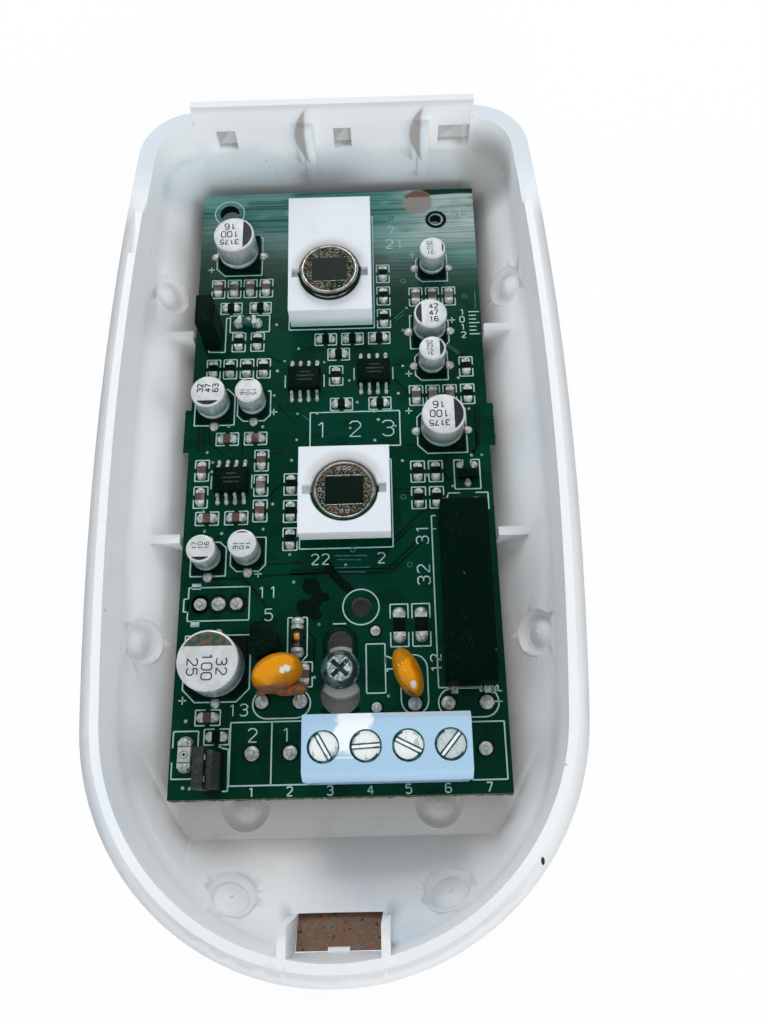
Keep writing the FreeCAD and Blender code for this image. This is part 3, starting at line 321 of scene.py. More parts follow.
def canAluminium():
    finish = Finish("canAluminium", (0.80, 0.82, 0.82), metal=0.68, rough=0.3)
    finish.blotch((0.70, 0.74, 0.74), 1.2, 2.0, 0.5, 0.75, 0.6, (1, 1, 0.4))
    # painted reflection of the green board low on the can sides
    side = abs(finish.facing()).step(0.6, 0.3) * (finish.axis("Z") - boardTop / mm).step(5.2, 2.4)
    finish.tint((0.36, 0.66, 0.63), side * (finish.noise(1.0, 2.0, (1, 1, 0.3)).step(0.3, 0.6) * 0.4 + 0.4))
    finish.wander(0.5, 2.0, 0.1, 0.24)
    finish.grit(0.5, 2.0, 0.004)
    finish.done()


def dustyMoulding():  # the relay's scuffed top with fine pale specks
    finish = Finish("dustyMoulding", (0.0, 0.007, 0.0045), rough=0.5, shine=0.03)
    specks = finish.cells(0.42).step(0.24, 0.12) * finish.noise(4.2, 2.0, (1, 0.5, 1)).step(0.46, 0.62)
    finish.tint((0.02, 0.035, 0.03), specks * 0.9)
    finish.tint((0.16, 0.16, 0.15), finish.cells(1.9).step(0.07, 0.04) * 0.8)
    finish.grit(0.25, 3.0, 0.01)
    finish.done()


def holderPlastic():
    finish = Finish("holderPlastic", (0.70, 0.76, 0.81), rough=0.34, shine=0.3)
    finish.blotch((0.72, 0.765, 0.80), 7.0, 2.0, 0.4, 0.6)
    finish.blotch((0.60, 0.74, 0.84), 4.5, 2.0, 0.6, 0.68, 0.5)
    for which in ("upper", "lower"):  # painted shade of each can on the holder above it, and painted shade in the gap below it
        middle = middleOf("pyro_can_" + which) / mm
        away = finish.away(middle.x - boardMiddle.x / mm, middle.y - boardMiddle.y / mm)
        above = (finish.axis("Y") - middle.y).step(-1.5, 3.0)
        finish.tint((0.46, 0.43, 0.40), away.step(6.3, 4.9) * above * 0.55)
        finish.tint((0.10, 0.22, 0.20), away.step(4.9, 4.75) * finish.axis("Y").step(middle.y, middle.y - 2))
    # painted reflection of the board on the lower sides of the holders
    level = finish.axis("Z") - boardTop / mm
    finish.tint((0.22, 0.46, 0.42), level.step(3.2, 0.8) * finish.facing().step(0.5, 0.2) * 0.7)
    finish.wander(2.0, 3.0, 0.12, 0.28)
    finish.grit(0.4, 2.0, 0.004)
    finish.done()


def sensorWindow():
    finish = Finish("sensorWindow", (0.003, 0.010, 0.007), rough=0.5, shine=0.04)
    finish.tint((0.022, 0.029, 0.027), finish.axis("Y").step(15.0, 20.0))  # the upper one is paler
    finish.blotch((0.04, 0.045, 0.04), 0.35, 4.0, 0.66, 0.74, 0.6)
    finish.grit(1.5, 2.0, 0.01)
    finish.done()


def terminalPlastic():
    finish = Finish("terminalPlastic", (0.38, 0.57, 0.74), rough=0.34, shine=0.15)
    wander = finish.noise(1.6, 4.0) * 2.4 - 1.2
    x = finish.axis("X")
    above = finish.axis("Y") - boardMiddle.y / mm
    front = (above + wander * 0.6).step(-43.6, -42.8)
    # painted highlight across the top, and along the front edge
    pale = abs(x - 2.0 + wander * 1.2 - (above + 41.0) * 0.25).step(2.4, 1.6)
    finish.tint((0.84, 0.90, 0.93), pale * front)
    edge = abs(above + 43.7).step(0.14, 0.08) * abs(x - 0.6).step(3.6, 3.2)
    finish.tint((0.72, 0.80, 0.85), edge * 0.8)
    finish.tint((0.46, 0.53, 0.57), (x + wander).step(5.5, 6.5) * above.step(-39.3, -38.7) * 0.8)
    finish.wander(2.0, 3.0, 0.15, 0.26)
    finish.grit(0.5, 2.0, 0.005)
    finish.done()


def dippedCoating():
    finish = Finish("dippedCoating", (0.72, 0.28, 0.0), rough=0.24, shine=0.1, coat=0.3, coatRough=0.04)
    across, along, up = finish.facing("X"), finish.facing("Y"), finish.facing()
    # painted shade: darker where the coating turns from above, brown underneath
    finish.tint((0.42, 0.155, 0.0), (up + finish.noise(1.4, 3.0) * 0.5).step(0.95, 0.75))
    finish.tint((0.13, 0.06, 0.03), (up + finish.noise(1.2, 3.0) * 0.3).step(0.3, 0.05) * 0.9)
    # painted shade: darker on the flank facing back and left, brown on the side facing forward
    flank = along * 0.9 - across * 0.45 + finish.noise(1.1, 3.0) * 0.3
    finish.tint((0.42, 0.16, 0.0), flank.step(0.34, 0.46) * 0.9)
    finish.tint((0.15, 0.07, 0.045), (along + finish.noise(1.0, 3.0) * 0.3).step(-0.62, -0.72) * 0.9)
    # painted highlights
    for x, y, radius in ((-6.95, -32.45, 0.42), (-6.4, -32.2, 0.46), (9.72, -34.8, 0.44), (8.65, -33.1, 0.16),
                         (7.9, -32.4, 0.14)):
        away = finish.away(x, y) + finish.noise(0.5, 2.0) * 0.5
        finish.tint((0.74, 0.72, 0.66), away.step(radius + 0.3, radius + 0.14))
    finish.grit(0.9, 2.0, 0.06)
    finish.done()


def diodeGlass():
    finish = Finish("diodeGlass", (0.008, 0.012, 0.008), rough=0.12, coat=0.3)
    middle = middleOf("glass_diode") / mm
    across = abs(finish.axis("X") - middle.x).step(0.42, 0.25)
    amber = abs(finish.axis("Y") - (middle.y + 0.2)).step(0.5, 0.32) * across
    finish.tint((0.66, 0.26, 0.0), amber * finish.noise(0.5, 3.0).step(0.25, 0.45))
    finish.tint((0.22, 0.10, 0.05), abs(finish.axis("Y") - (middle.y - 0.95)).step(0.3, 0.15) * across)
    finish.done()


for make in (housingPlastic, maskedBoard, screwSlots, screwSteel, canAluminium, dustyMoulding, holderPlastic,
             sensorWindow, terminalPlastic, dippedCoating, diodeGlass):
    make()

# Blotches are (colour, grain, detail, start, end, share, stretch), wander and grit as in Finish
plain("silkInk", (0.50, 0.70, 0.68), ((0.20, 0.46, 0.42), 0.7, 4.0, 0.54, 0.7, 0.6), rough=0.55, shine=0.2)
plain("viaTin", (0.34, 0.44, 0.41), ((0.12, 0.22, 0.19), 0.8, 3.0, 0.45, 0.62), rough=0.4, shine=0.5)
plain("trackShade", (0.0, 0.008, 0.004), ((0.0, 0.016, 0.008), 1.5, 2.0, 0.4, 0.6), rough=0.3, shine=0.1)
plain("trackGleam", (0.02, 0.13, 0.11), ((0.05, 0.22, 0.19), 1.1, 3.0, 0.45, 0.6), rough=0.3, shine=0.3)
plain("markerInk", (0.0, 0.007, 0.004), ((0.0, 0.018, 0.01), 0.5, 4.0, 0.6, 0.68), rough=0.4, shine=0.06)
plain("solderMetal", (0.62, 0.65, 0.63), ((0.30, 0.36, 0.34), 0.5, 5.0, 0.47, 0.62, 0.85),
      ((0.34, 0.22, 0.16), 1.1, 3.0, 0.60, 0.68, 0.6), ((0.10, 0.16, 0.14), 0.32, 3.0, 0.62, 0.68, 0.8),
      wander=(0.3, 3.0, 0.2, 0.3), grit=(0.3, 3.0, 0.05), metal=0.45, rough=0.42)
plain("tinnedLead", (0.62, 0.66, 0.64), ((0.26, 0.36, 0.33), 0.5, 5.0, 0.46, 0.58, 0.85),
      ((0.10, 0.17, 0.15), 0.35, 3.0, 0.60, 0.66, 0.8), wander=(0.3, 3.0, 0.2, 0.36),
      grit=(0.25, 3.0, 0.02), metal=0.4, rough=0.46)
plain("slotShade", (0.025, 0.09, 0.085), ((0.20, 0.33, 0.31), 0.8, 3.0, 0.5, 0.62, 0.9), rough=0.5,
      shine=0.1)
plain("slotFloor", (0.95, 0.97, 0.96), ((0.5, 0.6, 0.59), 0.7, 3.0, 0.55, 0.65, 0.8), rough=0.3, shine=0.6)
plain("nickelPlate", (0.83, 0.84, 0.82), ((0.52, 0.54, 0.52), 0.6, 4.0, 0.5, 0.72, 1.0, (1, 0.3, 1)),
      grit=(0.1, 2.0, 0.006, (1, 0.15, 1)), metal=0.7, rough=0.3)
plain("canTop", (0.56, 0.60, 0.60), ((0.66, 0.69, 0.70), 1.4, 3.0, 0.4, 0.62),
      wander=(0.2, 2.0, 0.15, 0.38), grit=(0.14, 3.0, 0.01), metal=0.25, rough=0.46)
plain("printBlack", (0.006, 0.012, 0.010), ((0.03, 0.04, 0.04), 0.4, 4.0, 0.5, 0.7), rough=0.42, shine=0.3)
plain("printWorn", (0.012, 0.07, 0.062), ((0.15, 0.07, 0.04), 0.7, 4.0, 0.45, 0.56), rough=0.3, shine=0.4)
plain("blackMoulding", (0.0, 0.007, 0.0045), ((0.014, 0.022, 0.019), 0.3, 4.0, 0.56, 0.66, 0.8),
      wander=(0.8, 3.0, 0.2, 0.34), grit=(0.2, 3.0, 0.012), rough=0.45, shine=0.04)
plain("greyMoulding", (0.018, 0.022, 0.020), ((0.035, 0.04, 0.037), 0.6, 4.0, 0.45, 0.65),
      grit=(0.2, 3.0, 0.01), rough=0.5, shine=0.3)
plain("sensorFace", (0.004, 0.020, 0.015), ((0.20, 0.085, 0.045), 0.26, 1.0, 0.53, 0.54, 0.9),
      ((0.11, 0.27, 0.25), 0.3, 1.0, 0.60, 0.61, 0.85, (1, 1.2, 1)), grit=(0.2, 3.0, 0.02), rough=0.6,
      shine=0.06)
plain("sensorMetal", (0.62, 0.60, 0.57), ((0.34, 0.31, 0.28), 1.2, 3.0, 0.45, 0.65),
      wander=(0.4, 3.0, 0.15, 0.13), grit=(0.2, 2.0, 0.005), metal=1.0, rough=0.2)
plain("dippedDrips", (0.15, 0.07, 0.04), ((0.30, 0.11, 0.01), 0.8, 3.0, 0.5, 0.62), grit=(0.5, 3.0, 0.06),
      rough=0.4, shine=0.2)
plain("diodeGlaze", (0.012, 0.075, 0.068), ((0.02, 0.028, 0.024), 0.6, 3.0, 0.5, 0.66), rough=0.22,
      coat=0.4)
plain("brownCeramic", (0.10, 0.062, 0.042), ((0.17, 0.15, 0.135), 2.7, 1.0, 0.48, 0.58),
      grit=(0.2, 3.0, 0.01), rough=0.45, shine=0.3)
plain("lampBody", (0.60, 0.62, 0.60), ((0.42, 0.44, 0.42), 0.35, 4.0, 0.5, 0.68), grit=(0.2, 3.0, 0.015),
      rough=0.4, shine=0.5)
plain("tornLaminate", (0.08, 0.12, 0.07), ((0.26, 0.20, 0.13), 0.4, 4.0, 0.48, 0.6),
      ((0.15, 0.06, 0.03), 0.7, 3.0, 0.6, 0.7), grit=(0.2, 3.0, 0.06), rough=0.7, shine=0.2)
print("finishes:", len(finishes))


# Meshes: plain helpers


def held(name, mesh):
    item = bpy.data.objects.new(name, mesh)
    bpy.context.scene.collection.objects.link(item)
    return item


def newPiece(name, mesh, *looks, body="board", slot=None, replaces=()):
    piece = held(name, mesh)
    mesh.materials.clear()
    for look in looks:
        mesh.materials.append(finishes[look])
    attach(piece, body)
    if replaces:
        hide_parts(*replaces)


def meshFrom(work, name, sharp=35.0):
    mesh = bpy.data.meshes.new(name)
    work.to_mesh(mesh)
    work.free()
    mesh.polygons.foreach_set("use_smooth", [True] * len(mesh.polygons))
    if sharp:
        mesh.set_sharp_from_angle(angle=math.radians(sharp))
    return mesh


def evaluated(piece, name):  # the plain mesh of a piece after its modifiers, and the piece goes
    bpy.context.view_layer.update()
    source = piece.evaluated_get(bpy.context.evaluated_depsgraph_get())
    mesh = bpy.data.meshes.new_from_object(source)
    mesh.name = name
    bpy.data.objects.remove(piece)
    return mesh


def nodeWork(node):  # a copy of a CAD node's triangles with their corners joined
    work = bmesh.new()
    work.from_mesh(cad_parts[node].data)
    bmesh.ops.remove_doubles(work, verts=work.verts, dist=1e-6)
    return work


def islands(node):  # lowest and highest corner of each separate solid of a node
    work = nodeWork(node)
    seen, found = set(), []
    for first in work.verts:
        if first in seen:
            continue
        stack, group = [first], []
        seen.add(first)
        while stack:
            vertex = stack.pop()
            group.append(vertex.co.copy())
            for edge in vertex.link_edges:
                other = edge.other_vert(vertex)
                if other not in seen:
                    seen.add(other)
                    stack.append(other)
        found.append([Vector([pick(point[axis] for point in group) for axis in range(3)])
                      for pick in (min, max)])
    work.free()
    return found


def dressed(node, finish):  # a CAD node shown as it is, with a finish of its own
    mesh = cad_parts[node].data
    mesh.materials.clear()
    mesh.materials.append(finishes[finish])


def resurfaced(node, name, finish, sharp, **settings):  # a CAD form with its round faces smooth
    form = held(name + "Form", meshFrom(nodeWork(node), name + "Form", sharp))
    weigh = form.modifiers.new("evenShade", "WEIGHTED_NORMAL")
    weigh.keep_sharp = True
    weigh.weight = 90
    newPiece(name, evaluated(form, name), finish, replaces=(node,), **settings)


def softEdged(name, mesh, finish, width, segments, **settings):  # width of the rounding in mm
    mesh.polygons.foreach_set("use_smooth", [True] * len(mesh.polygons))
    block = held(name + "Block", mesh)
    bevel = block.modifiers.new("edges", "BEVEL")
    bevel.width = width * mm
    bevel.segments = segments
    bevel.limit_method = "ANGLE"
    bevel.angle_limit = math.radians(38)
    bevel.harden_normals = True
    newPiece(name, evaluated(block, name), finish, **settings)


# A CAD block with its edges rounded
def softened(node, name, finish, width, segments=3, foot=None, turn=0.0, **settings):
    work = nodeWork(node)
    bmesh.ops.dissolve_limit(work, angle_limit=math.radians(1), verts=work.verts, edges=work.edges)
    if foot:  # a round foot drawn in a little: its middle, top and share
        for vertex in work.verts:
            if vertex.co.z < foot["top"]:
                vertex.co.x = foot["middle"].x + (vertex.co.x - foot["middle"].x) * foot["share"]
                vertex.co.y = foot["middle"].y + (vertex.co.y - foot["middle"].y) * foot["share"]
    mesh = meshFrom(work, name + "Block", None)
    if turn:  # a fastener screwed round a little further, in degrees
        middle = middleOf(node)
        mesh.transform(Matrix.Translation(middle) @ Matrix.Rotation(math.radians(turn), 4, "Z")
                       @ Matrix.Translation(-middle))
    softEdged(name, mesh, finish, width, segments, replaces=(node,), **settings)


def turned(name, profile, segments=64, sharp=35.0):  # a lathe shape from (radius, height) in mm
    work = bmesh.new()
    rings = []
    for radius, height in profile:
        if radius < 1e-6:
            rings.append([work.verts.new((0, 0, height * mm))])
            continue
        rings.append([work.verts.new((radius * mm * math.cos(2 * math.pi * step / segments),
                                      radius * mm * math.sin(2 * math.pi * step / segments), height * mm))
                      for step in range(segments)])
    for lower, upper in zip(rings, rings[1:]):
        for step in range(segments):
            following = (step + 1) % segments
            if len(lower) == 1 and len(upper) > 1:
                work.faces.new((lower[0], upper[following], upper[step]))
            elif len(upper) == 1 and len(lower) > 1:
                work.faces.new((lower[step], lower[following], upper[0]))
            elif len(upper) > 1:
                work.faces.new((lower[step], lower[following], upper[following], upper[step]))
    bmesh.ops.recalc_face_normals(work, faces=work.faces)
    return meshFrom(work, name, sharp)


def rounded(start, corner, finish, radius, steps=4):  # profile points round a corner
    before = Vector(start) - Vector(corner)
    after = Vector(finish) - Vector(corner)
    first = Vector(corner) + before.normalized() * radius
    last = Vector(corner) + after.normalized() * radius
    points = []
    for step in range(steps + 1):
        share = step / steps
        middle = 2 * share * (1 - share) * Vector(corner)
        points.append(tuple((1 - share) ** 2 * first + middle + share ** 2 * last))
    return points


def ringProfile(radius, thick, height, turn):  # the section of a round ring, a point every turn degrees
    angles = [math.radians(angle) for angle in range(0, 361, turn)]
    return [(radius + thick * math.cos(angle), height + thick * math.sin(angle)) for angle in angles]


def secondLook(mesh, level, tilt):  # faces that look up above a level take the second finish
    for face in mesh.polygons:
        if face.normal.z > tilt and face.center.z > level:
            face.material_index = 1


def slab(work, ring, low, top):  # a flat solid over an outline on the board
    lower = [work.verts.new(onBoard(x, y, low)) for x, y in ring]
    upper = [work.verts.new(onBoard(x, y, top)) for x, y in ring]
    work.faces.new(upper)
    work.faces.new(lower[::-1])
    for step in range(len(ring)):
        following = (step + 1) % len(ring)
        work.faces.new((lower[step], lower[following], upper[following], upper[step]))


def joined(name, meshes, *looks, **settings):  # several meshes as one piece
    work = bmesh.new()
    for mesh in meshes:
        work.from_mesh(mesh)
        bpy.data.meshes.remove(mesh)
    newPiece(name, meshFrom(work, name, None), *looks, **settings)


# Geometry Nodes: one tree for ribbons along paths, one for small things set out on points

def treeWith(name, inputs):
    tree = bpy.data.node_groups.new(name, "GeometryNodeTree")
    tree.interface.new_socket("Geometry", in_out="INPUT", socket_type="NodeSocketGeometry")
    tree.interface.new_socket("Geometry", in_out="OUTPUT", socket_type="NodeSocketGeometry")
    for label, kind in inputs.items():
        tree.interface.new_socket(label, in_out="INPUT", socket_type="NodeSocket" + kind)
    return tree, tree.nodes.new("NodeGroupInput").outputs


def endTree(tree, last, finish):  # every tree ends in real meshes with their finish
    real = addNode(tree, "GeometryNodeRealizeInstances", {}, {"Geometry": last.outputs[0]})
    paint = addNode(tree, "GeometryNodeSetMaterial", {}, {"Geometry": real.outputs[0], "Material": finish})
    addNode(tree, "NodeGroupOutput", {}, {0: paint.outputs[0]})
    return tree


def makeRibbonTree():
    tree, given = treeWith("ribbonOnPaths", {"Width": "Float", "Height": "Float", "Corner": "Float",
                                             "Finish": "Material"})
    curve = addNode(tree, "GeometryNodeMeshToCurve", {}, {"Mesh": given["Geometry"]})
    flat = addNode(tree, "GeometryNodeSetCurveNormal", {"mode": "Z_UP"}, {"Curve": curve.outputs[0]})
    fillet = addNode(tree, "GeometryNodeFilletCurve", {"mode": "POLY"}, {
        "Curve": flat.outputs[0], "Radius": given["Corner"], "Count": 3, "Limit Radius": True})
    section = addNode(tree, "GeometryNodeCurvePrimitiveQuadrilateral", {}, {
        "Width": given["Width"], "Height": given["Height"]})
    solid = addNode(tree, "GeometryNodeCurveToMesh", {}, {
        "Curve": fillet.outputs[0], "Profile Curve": section.outputs[0], "Fill Caps": True})
    return endTree(tree, solid, given["Finish"])


def makeScatterTree():
    tree, given = treeWith("setOutOnPoints", {"Template": "Object", "Scatter": "Float", "Seed": "Int",
                                              "Finish": "Material"})
    source = addNode(tree, "GeometryNodeObjectInfo", {}, {"Object": given["Template"]})
    turn, stretch = [
        addNode(tree, "GeometryNodeInputNamedAttribute", {"data_type": "FLOAT_VECTOR"}, {"Name": name})
        for name in ("turn", "stretch")]
    change = addNode(tree, "FunctionNodeRandomValue", {"data_type": "FLOAT"}, {"Seed": given["Seed"]})
    ends = [item for item in change.inputs if item.type == "VALUE"]
    for end, operation in zip(ends, ("SUBTRACT", "ADD")):
        limit = addNode(tree, "ShaderNodeMath", {"operation": operation}, {0: 1.0, 1: given["Scatter"]})
        tree.links.new(limit.outputs[0], end)
    value = next(item for item in change.outputs if item.type == "VALUE")
    scale = addNode(tree, "ShaderNodeVectorMath", {"operation": "SCALE"},
                    {0: stretch.outputs[0], "Scale": value})
    spread = addNode(tree, "GeometryNodeInstanceOnPoints", {}, {
        "Points": given["Geometry"], "Instance": source.outputs["Geometry"], "Rotation": turn.outputs[0],
        "Scale": scale.outputs[0]})
    return endTree(tree, spread, given["Finish"])


ribbonTree = makeRibbonTree()
scatterTree = makeScatterTree()


def grown(name, base, tree, inputs, finish, slot=None, **settings):
    holder = held(name + "Base", base)
    modifier = holder.modifiers.new("tree", "NODES")
    modifier.node_group = tree
    sockets = {item.name: item.identifier for item in tree.interface.items_tree if item.in_out == "INPUT"}
    for label, value in {**inputs, "Finish": finishes[finish]}.items():
        modifier[sockets[label]] = value
    newPiece(name, evaluated(holder, name), finish, slot=slot, **settings)


def ribbons(name, paths, width, height, finish, corner=0.12, slot=None, lift=0.0):
    work = bmesh.new()  # paths are lists of (x, y) on the board, closed where they end as they begin
    for path in paths:
        closed = len(path) > 2 and path[0] == path[-1]
        spots = [work.verts.new(onBoard(x, y, lift + height / 2)) for x, y in (path[:-1] if closed else path)]
        for start, end in zip(spots, spots[1:]):
            work.edges.new((start, end))
        if closed:
            work.edges.new((spots[-1], spots[0]))
    base = bpy.data.meshes.new(name + "Paths")
    work.to_mesh(base)
    work.free()
    inputs = {"Width": width * mm, "Height": height * mm, "Corner": corner * mm}
    grown(name, base, ribbonTree, inputs, finish, slot)


def scattered(name, template, spots, finish, scatter=0.0, replaces=()):
    # spots are (place, turn about Z in radians, stretch), and the template mesh is used up
    pattern = held(name + "Template", template)
    base = bpy.data.meshes.new(name + "Points")
    base.from_pydata([spot[0] for spot in spots], [], [])
    turns = base.attributes.new("turn", "FLOAT_VECTOR", "POINT")
    turns.data.foreach_set("vector", [value for spot in spots for value in (0, 0, spot[1])])
    stretches = base.attributes.new("stretch", "FLOAT_VECTOR", "POINT")
    stretches.data.foreach_set("vector", [value for spot in spots for value in spot[2]])
    inputs = {"Template": pattern, "Scatter": scatter, "Seed": 7}
    grown(name, base, scatterTree, inputs, finish, replaces=replaces)
    bpy.data.objects.remove(pattern)


# Places on the board that several pieces share

chips = []
for node in ("chip_resistors", "chip_capacitors", "load_resistor_left", "load_resistor_right", "status_led"):
    for low, high in islands(node):
        span = high - low
        lengthwise = Vector((1, 0, 0)) if node.startswith("chip") and span.x < span.y else Vector((0, 1, 0))
        reach, width = (span.x, span.y) if lengthwise.x else (span.y, span.x)
        chips.append({"node": node, "middle": (low + high) / 2, "along": lengthwise, "core": reach / 2 / mm,
                      "half": width / 2 / mm, "height": span.z / mm,
                      "turn": 0.0 if lengthwise.x else math.pi / 2})
chipPlaces = [(-5.2, 12.4), (5.3, 13.4), (-15.7, -3.9)]
capacitors = {}
plusSide = {"a": 180, "b": 180, "c": 0, "d": 90, "e": -90, "f": 180, "g": 180, "h": 90, "i": -90, "j": -90}
for letter, turn in plusSide.items():
    low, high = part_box("capacitor_can_" + letter)
    baseLow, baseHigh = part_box("capacitor_base_" + letter)
    x, y = boardPlace((low + high) / 2)
    capacitors[letter] = {"x": x, "y": y, "radius": (high.x - low.x) / 2 / mm,
                          "top": (high.z - boardTop) / mm,
                          "foot": (low.z - boardTop) / mm, "half": (baseHigh.x - baseLow.x) / 2 / mm,
                          "turn": math.radians(turn)}
print("places:", len(chips), "chips,", len(capacitors), "capacitors")

resurfaced("rear_housing", "housingShell", "housingPlastic", 24.0, body="housing")
softened("board_screw", "clampScrew", "screwSteel", 0.09, turn=31.0, body="housing")
print("housing: shell and screw")


# Board with its print

dressed("circuit_board", "maskedBoard")

silkLook = {"width": 0.19, "height": 0.03, "letter": 0.17, "corner": 0.1}
digitStrokes = {  # each figure on a field 4 wide and 6 high
    "0": [[(0, 1), (0, 5), (1, 6), (3, 6), (4, 5), (4, 1), (3, 0), (1, 0), (0, 1)]],
    "1": [[(0.8, 4.8), (2.2, 6), (2.2, 0)]],
    "2": [[(0, 5), (1, 6), (3, 6), (4, 5), (4, 3.8), (0, 0), (4, 0)]],
    "3": [[(0, 5.2), (1, 6), (3, 6), (4, 5), (4, 4), (3, 3.2), (1.6, 3.2)],
          [(3, 3.2), (4, 2.4), (4, 1), (3, 0), (1, 0), (0, 0.8)]],
    "4": [[(3, 0), (3, 6), (0, 1.8), (4.2, 1.8)]],
    "5": [[(3.8, 6), (0.4, 6), (0.2, 3.4), (1.4, 3.9), (3, 3.8), (4, 2.8), (4, 1.2), (3, 0), (1, 0),
           (0, 0.8)]],
    "6": [[(3.6, 5.6), (2.6, 6), (1, 6), (0, 4.6), (0, 1), (1, 0), (3, 0), (4, 1), (4, 2.4), (3, 3.4),
           (1, 3.4), (0, 2.4)]],
    "7": [[(0, 6), (4, 6), (1.4, 0)]],
    "+": [[(2, 1.2), (2, 4.8)], [(0.2, 3), (3.8, 3)]],
    " ": [],
}


def placed(path, x, y, turn):  # a path turned about its own origin and moved
    return [(x + across * math.cos(turn) - up * math.sin(turn),
             y + across * math.sin(turn) + up * math.cos(turn)) for across, up in path]


def lettering(text, x, y, height, turn=0.0, gap=1.9):  # strokes of plain figures, centred on x, y
    unit = height / 6
    length = len(text) * 4 + (len(text) - 1) * gap
    paths = []
    for place, mark in enumerate(text):
        for stroke in digitStrokes[mark]:
            path = [((place * (4 + gap) + across - length / 2) * unit, (up - 3) * unit)
                    for across, up in stroke]
            paths.append(placed(path, x, y, turn))
    return paths


def boxPath(left, low, right, high):
    return [(left, low), (right, low), (right, high), (left, high), (left, low)]


def ringPath(x, y, radius, count=40, start=0.0, finish=360.0):
    angles = [math.radians(start + (finish - start) * step / count) for step in range(count + 1)]
    path = [(x + radius * math.cos(angle), y + radius * math.sin(angle)) for angle in angles]
    if finish - start == 360.0:
        path[-1] = path[0]
    return path


def ovalPath(left, low, right, high, count=10):  # a box with two round ends
    if right - left >= high - low:
        radius = (high - low) / 2
        middle = (high + low) / 2
        path = ringPath(right - radius, middle, radius, count, -90, 90)
        path += ringPath(left + radius, middle, radius, count, 90, 270)
    else:
        radius = (right - left) / 2
        middle = (right + left) / 2
        path = ringPath(middle, high - radius, radius, count, 0, 180)
        path += ringPath(middle, low + radius, radius, count, 180, 360)
    return path + [path[0]]


def partOutlines():
    paths = [
        boxPath(-4.3, 1.3, 9.1, 7.0), boxPath(-7.73, 21.47, 5.58, 42.6), boxPath(-5.66, -14.42, 7.63, -0.9),
        [(17.9, -1.31), (16.81, -1.31), (16.81, -5.91), (20.55, -5.91), (20.55, -1.31), (19.4, -1.31)],
        [(18.1, -1.31), (18.1, -2.2)], [(19.3, -1.31), (19.3, -2.2)],
        [(-6.4, -24.3), (-7.09, -24.3), (-7.09, -30.3), (-6.4, -30.3)],
        [(-5.1, -24.3), (-4.42, -24.3), (-4.42, -29.6), (-5.1, -30.3)],
        [(-14.9, 24.3), (-16.98, 24.3), (-16.98, 21.3), (-14.9, 21.3)],
        [(-12.9, 24.3), (-10.82, 24.3), (-10.82, 21.3), (-12.9, 21.3)],
        ovalPath(-11.6, -37.8, -3.9, -34.0), ovalPath(8.2, -37.7, 11.8, -29.8),
        ovalPath(13.1, -38.2, 21.1, -34.4), [(-0.9, -25.3), (0.9, -25.3)],
        boxPath(-21.0, -24.45, -12.5, -19.7), boxPath(-21.6, -23.1, -21.0, -21.3),
        boxPath(3.59, -34.8, 6.16, -28.2),
        boxPath(-14.4, -46.2, -4.1, -38.2), [(-8.95, -46.2), (-8.95, -38.2)],
        boxPath(17.1, -46.1, 21.6, -38.8),
        [(-17.0, 23.9), (-17.6, 23.9), (-17.6, 17.8), (-20.1, 17.9), (-20.2, 18.3)],
        [(-15.9, -41.2), (-15.2, -41.5), (-14.6, -41.6), (-14.5, -46.8), (-15.2, -46.8)],
        [(-21.9, -41.3), (-21.9, -39.2), (-18.6, -39.2), (-18.6, -41.1)],
        [(-21.9, -43.1), (-21.9, -45.2), (-19.1, -45.2)],
        ringPath(2.97, -23.0, 2.5), ringPath(-17.9, 44.0, 2.4),
        [(13.8, -9.9), (13.2, -9.9), (13.2, -34.3), (18.6, -34.3)], [(13.2, -11.9), (13.8, -11.9)],
        [(15.5, -7.5), (15.8, -6.5), (17.5, -6.5)], [(19.7, -6.5), (21.5, -6.5), (21.5, -9.1)],
        [(18.7, -34.0), (19.7, -35.0), (19.7, -34.0), (18.7, -35.0), (18.7, -34.0)],
        [(20.1, -34.0), (21.1, -35.0), (21.1, -34.0), (20.1, -35.0), (20.1, -34.0)],
    ]
    for chip in chips:
        if chip["node"] == "status_led":
            continue
        small = chip["node"].startswith("chip")
        x, y = boardPlace(chip["middle"])
        reach = chip["core"] + (1.1 if small else 1.95)
        half = chip["half"] + (0.38 if small else 0.4)
        inner = 0.33 if small else 0.95
        for side in (-1, 1):
            path = [(side * inner, -half), (side * reach, -half), (side * reach, half), (side * inner, half)]
            paths.append(placed(path, x, y, chip["turn"]))
    for can in capacitors.values():
        half, cut, gap = can["half"] + 0.33, can["radius"] * 0.4 + 0.1, 0.75
        for side in (-1, 1):
            path = [(-half, side * gap), (-half, side * half), (half - cut, side * half),
                    (half, side * (half - cut)), (half, side * gap)]
            paths.append(placed(path, can["x"], can["y"], can["turn"]))
    for x, y in chipPlaces:
        for side in (-1, 1):
            paths.append([(x + side * 2.95, y - 1.05), (x + side * 2.95, y + 1.05)])
    return paths


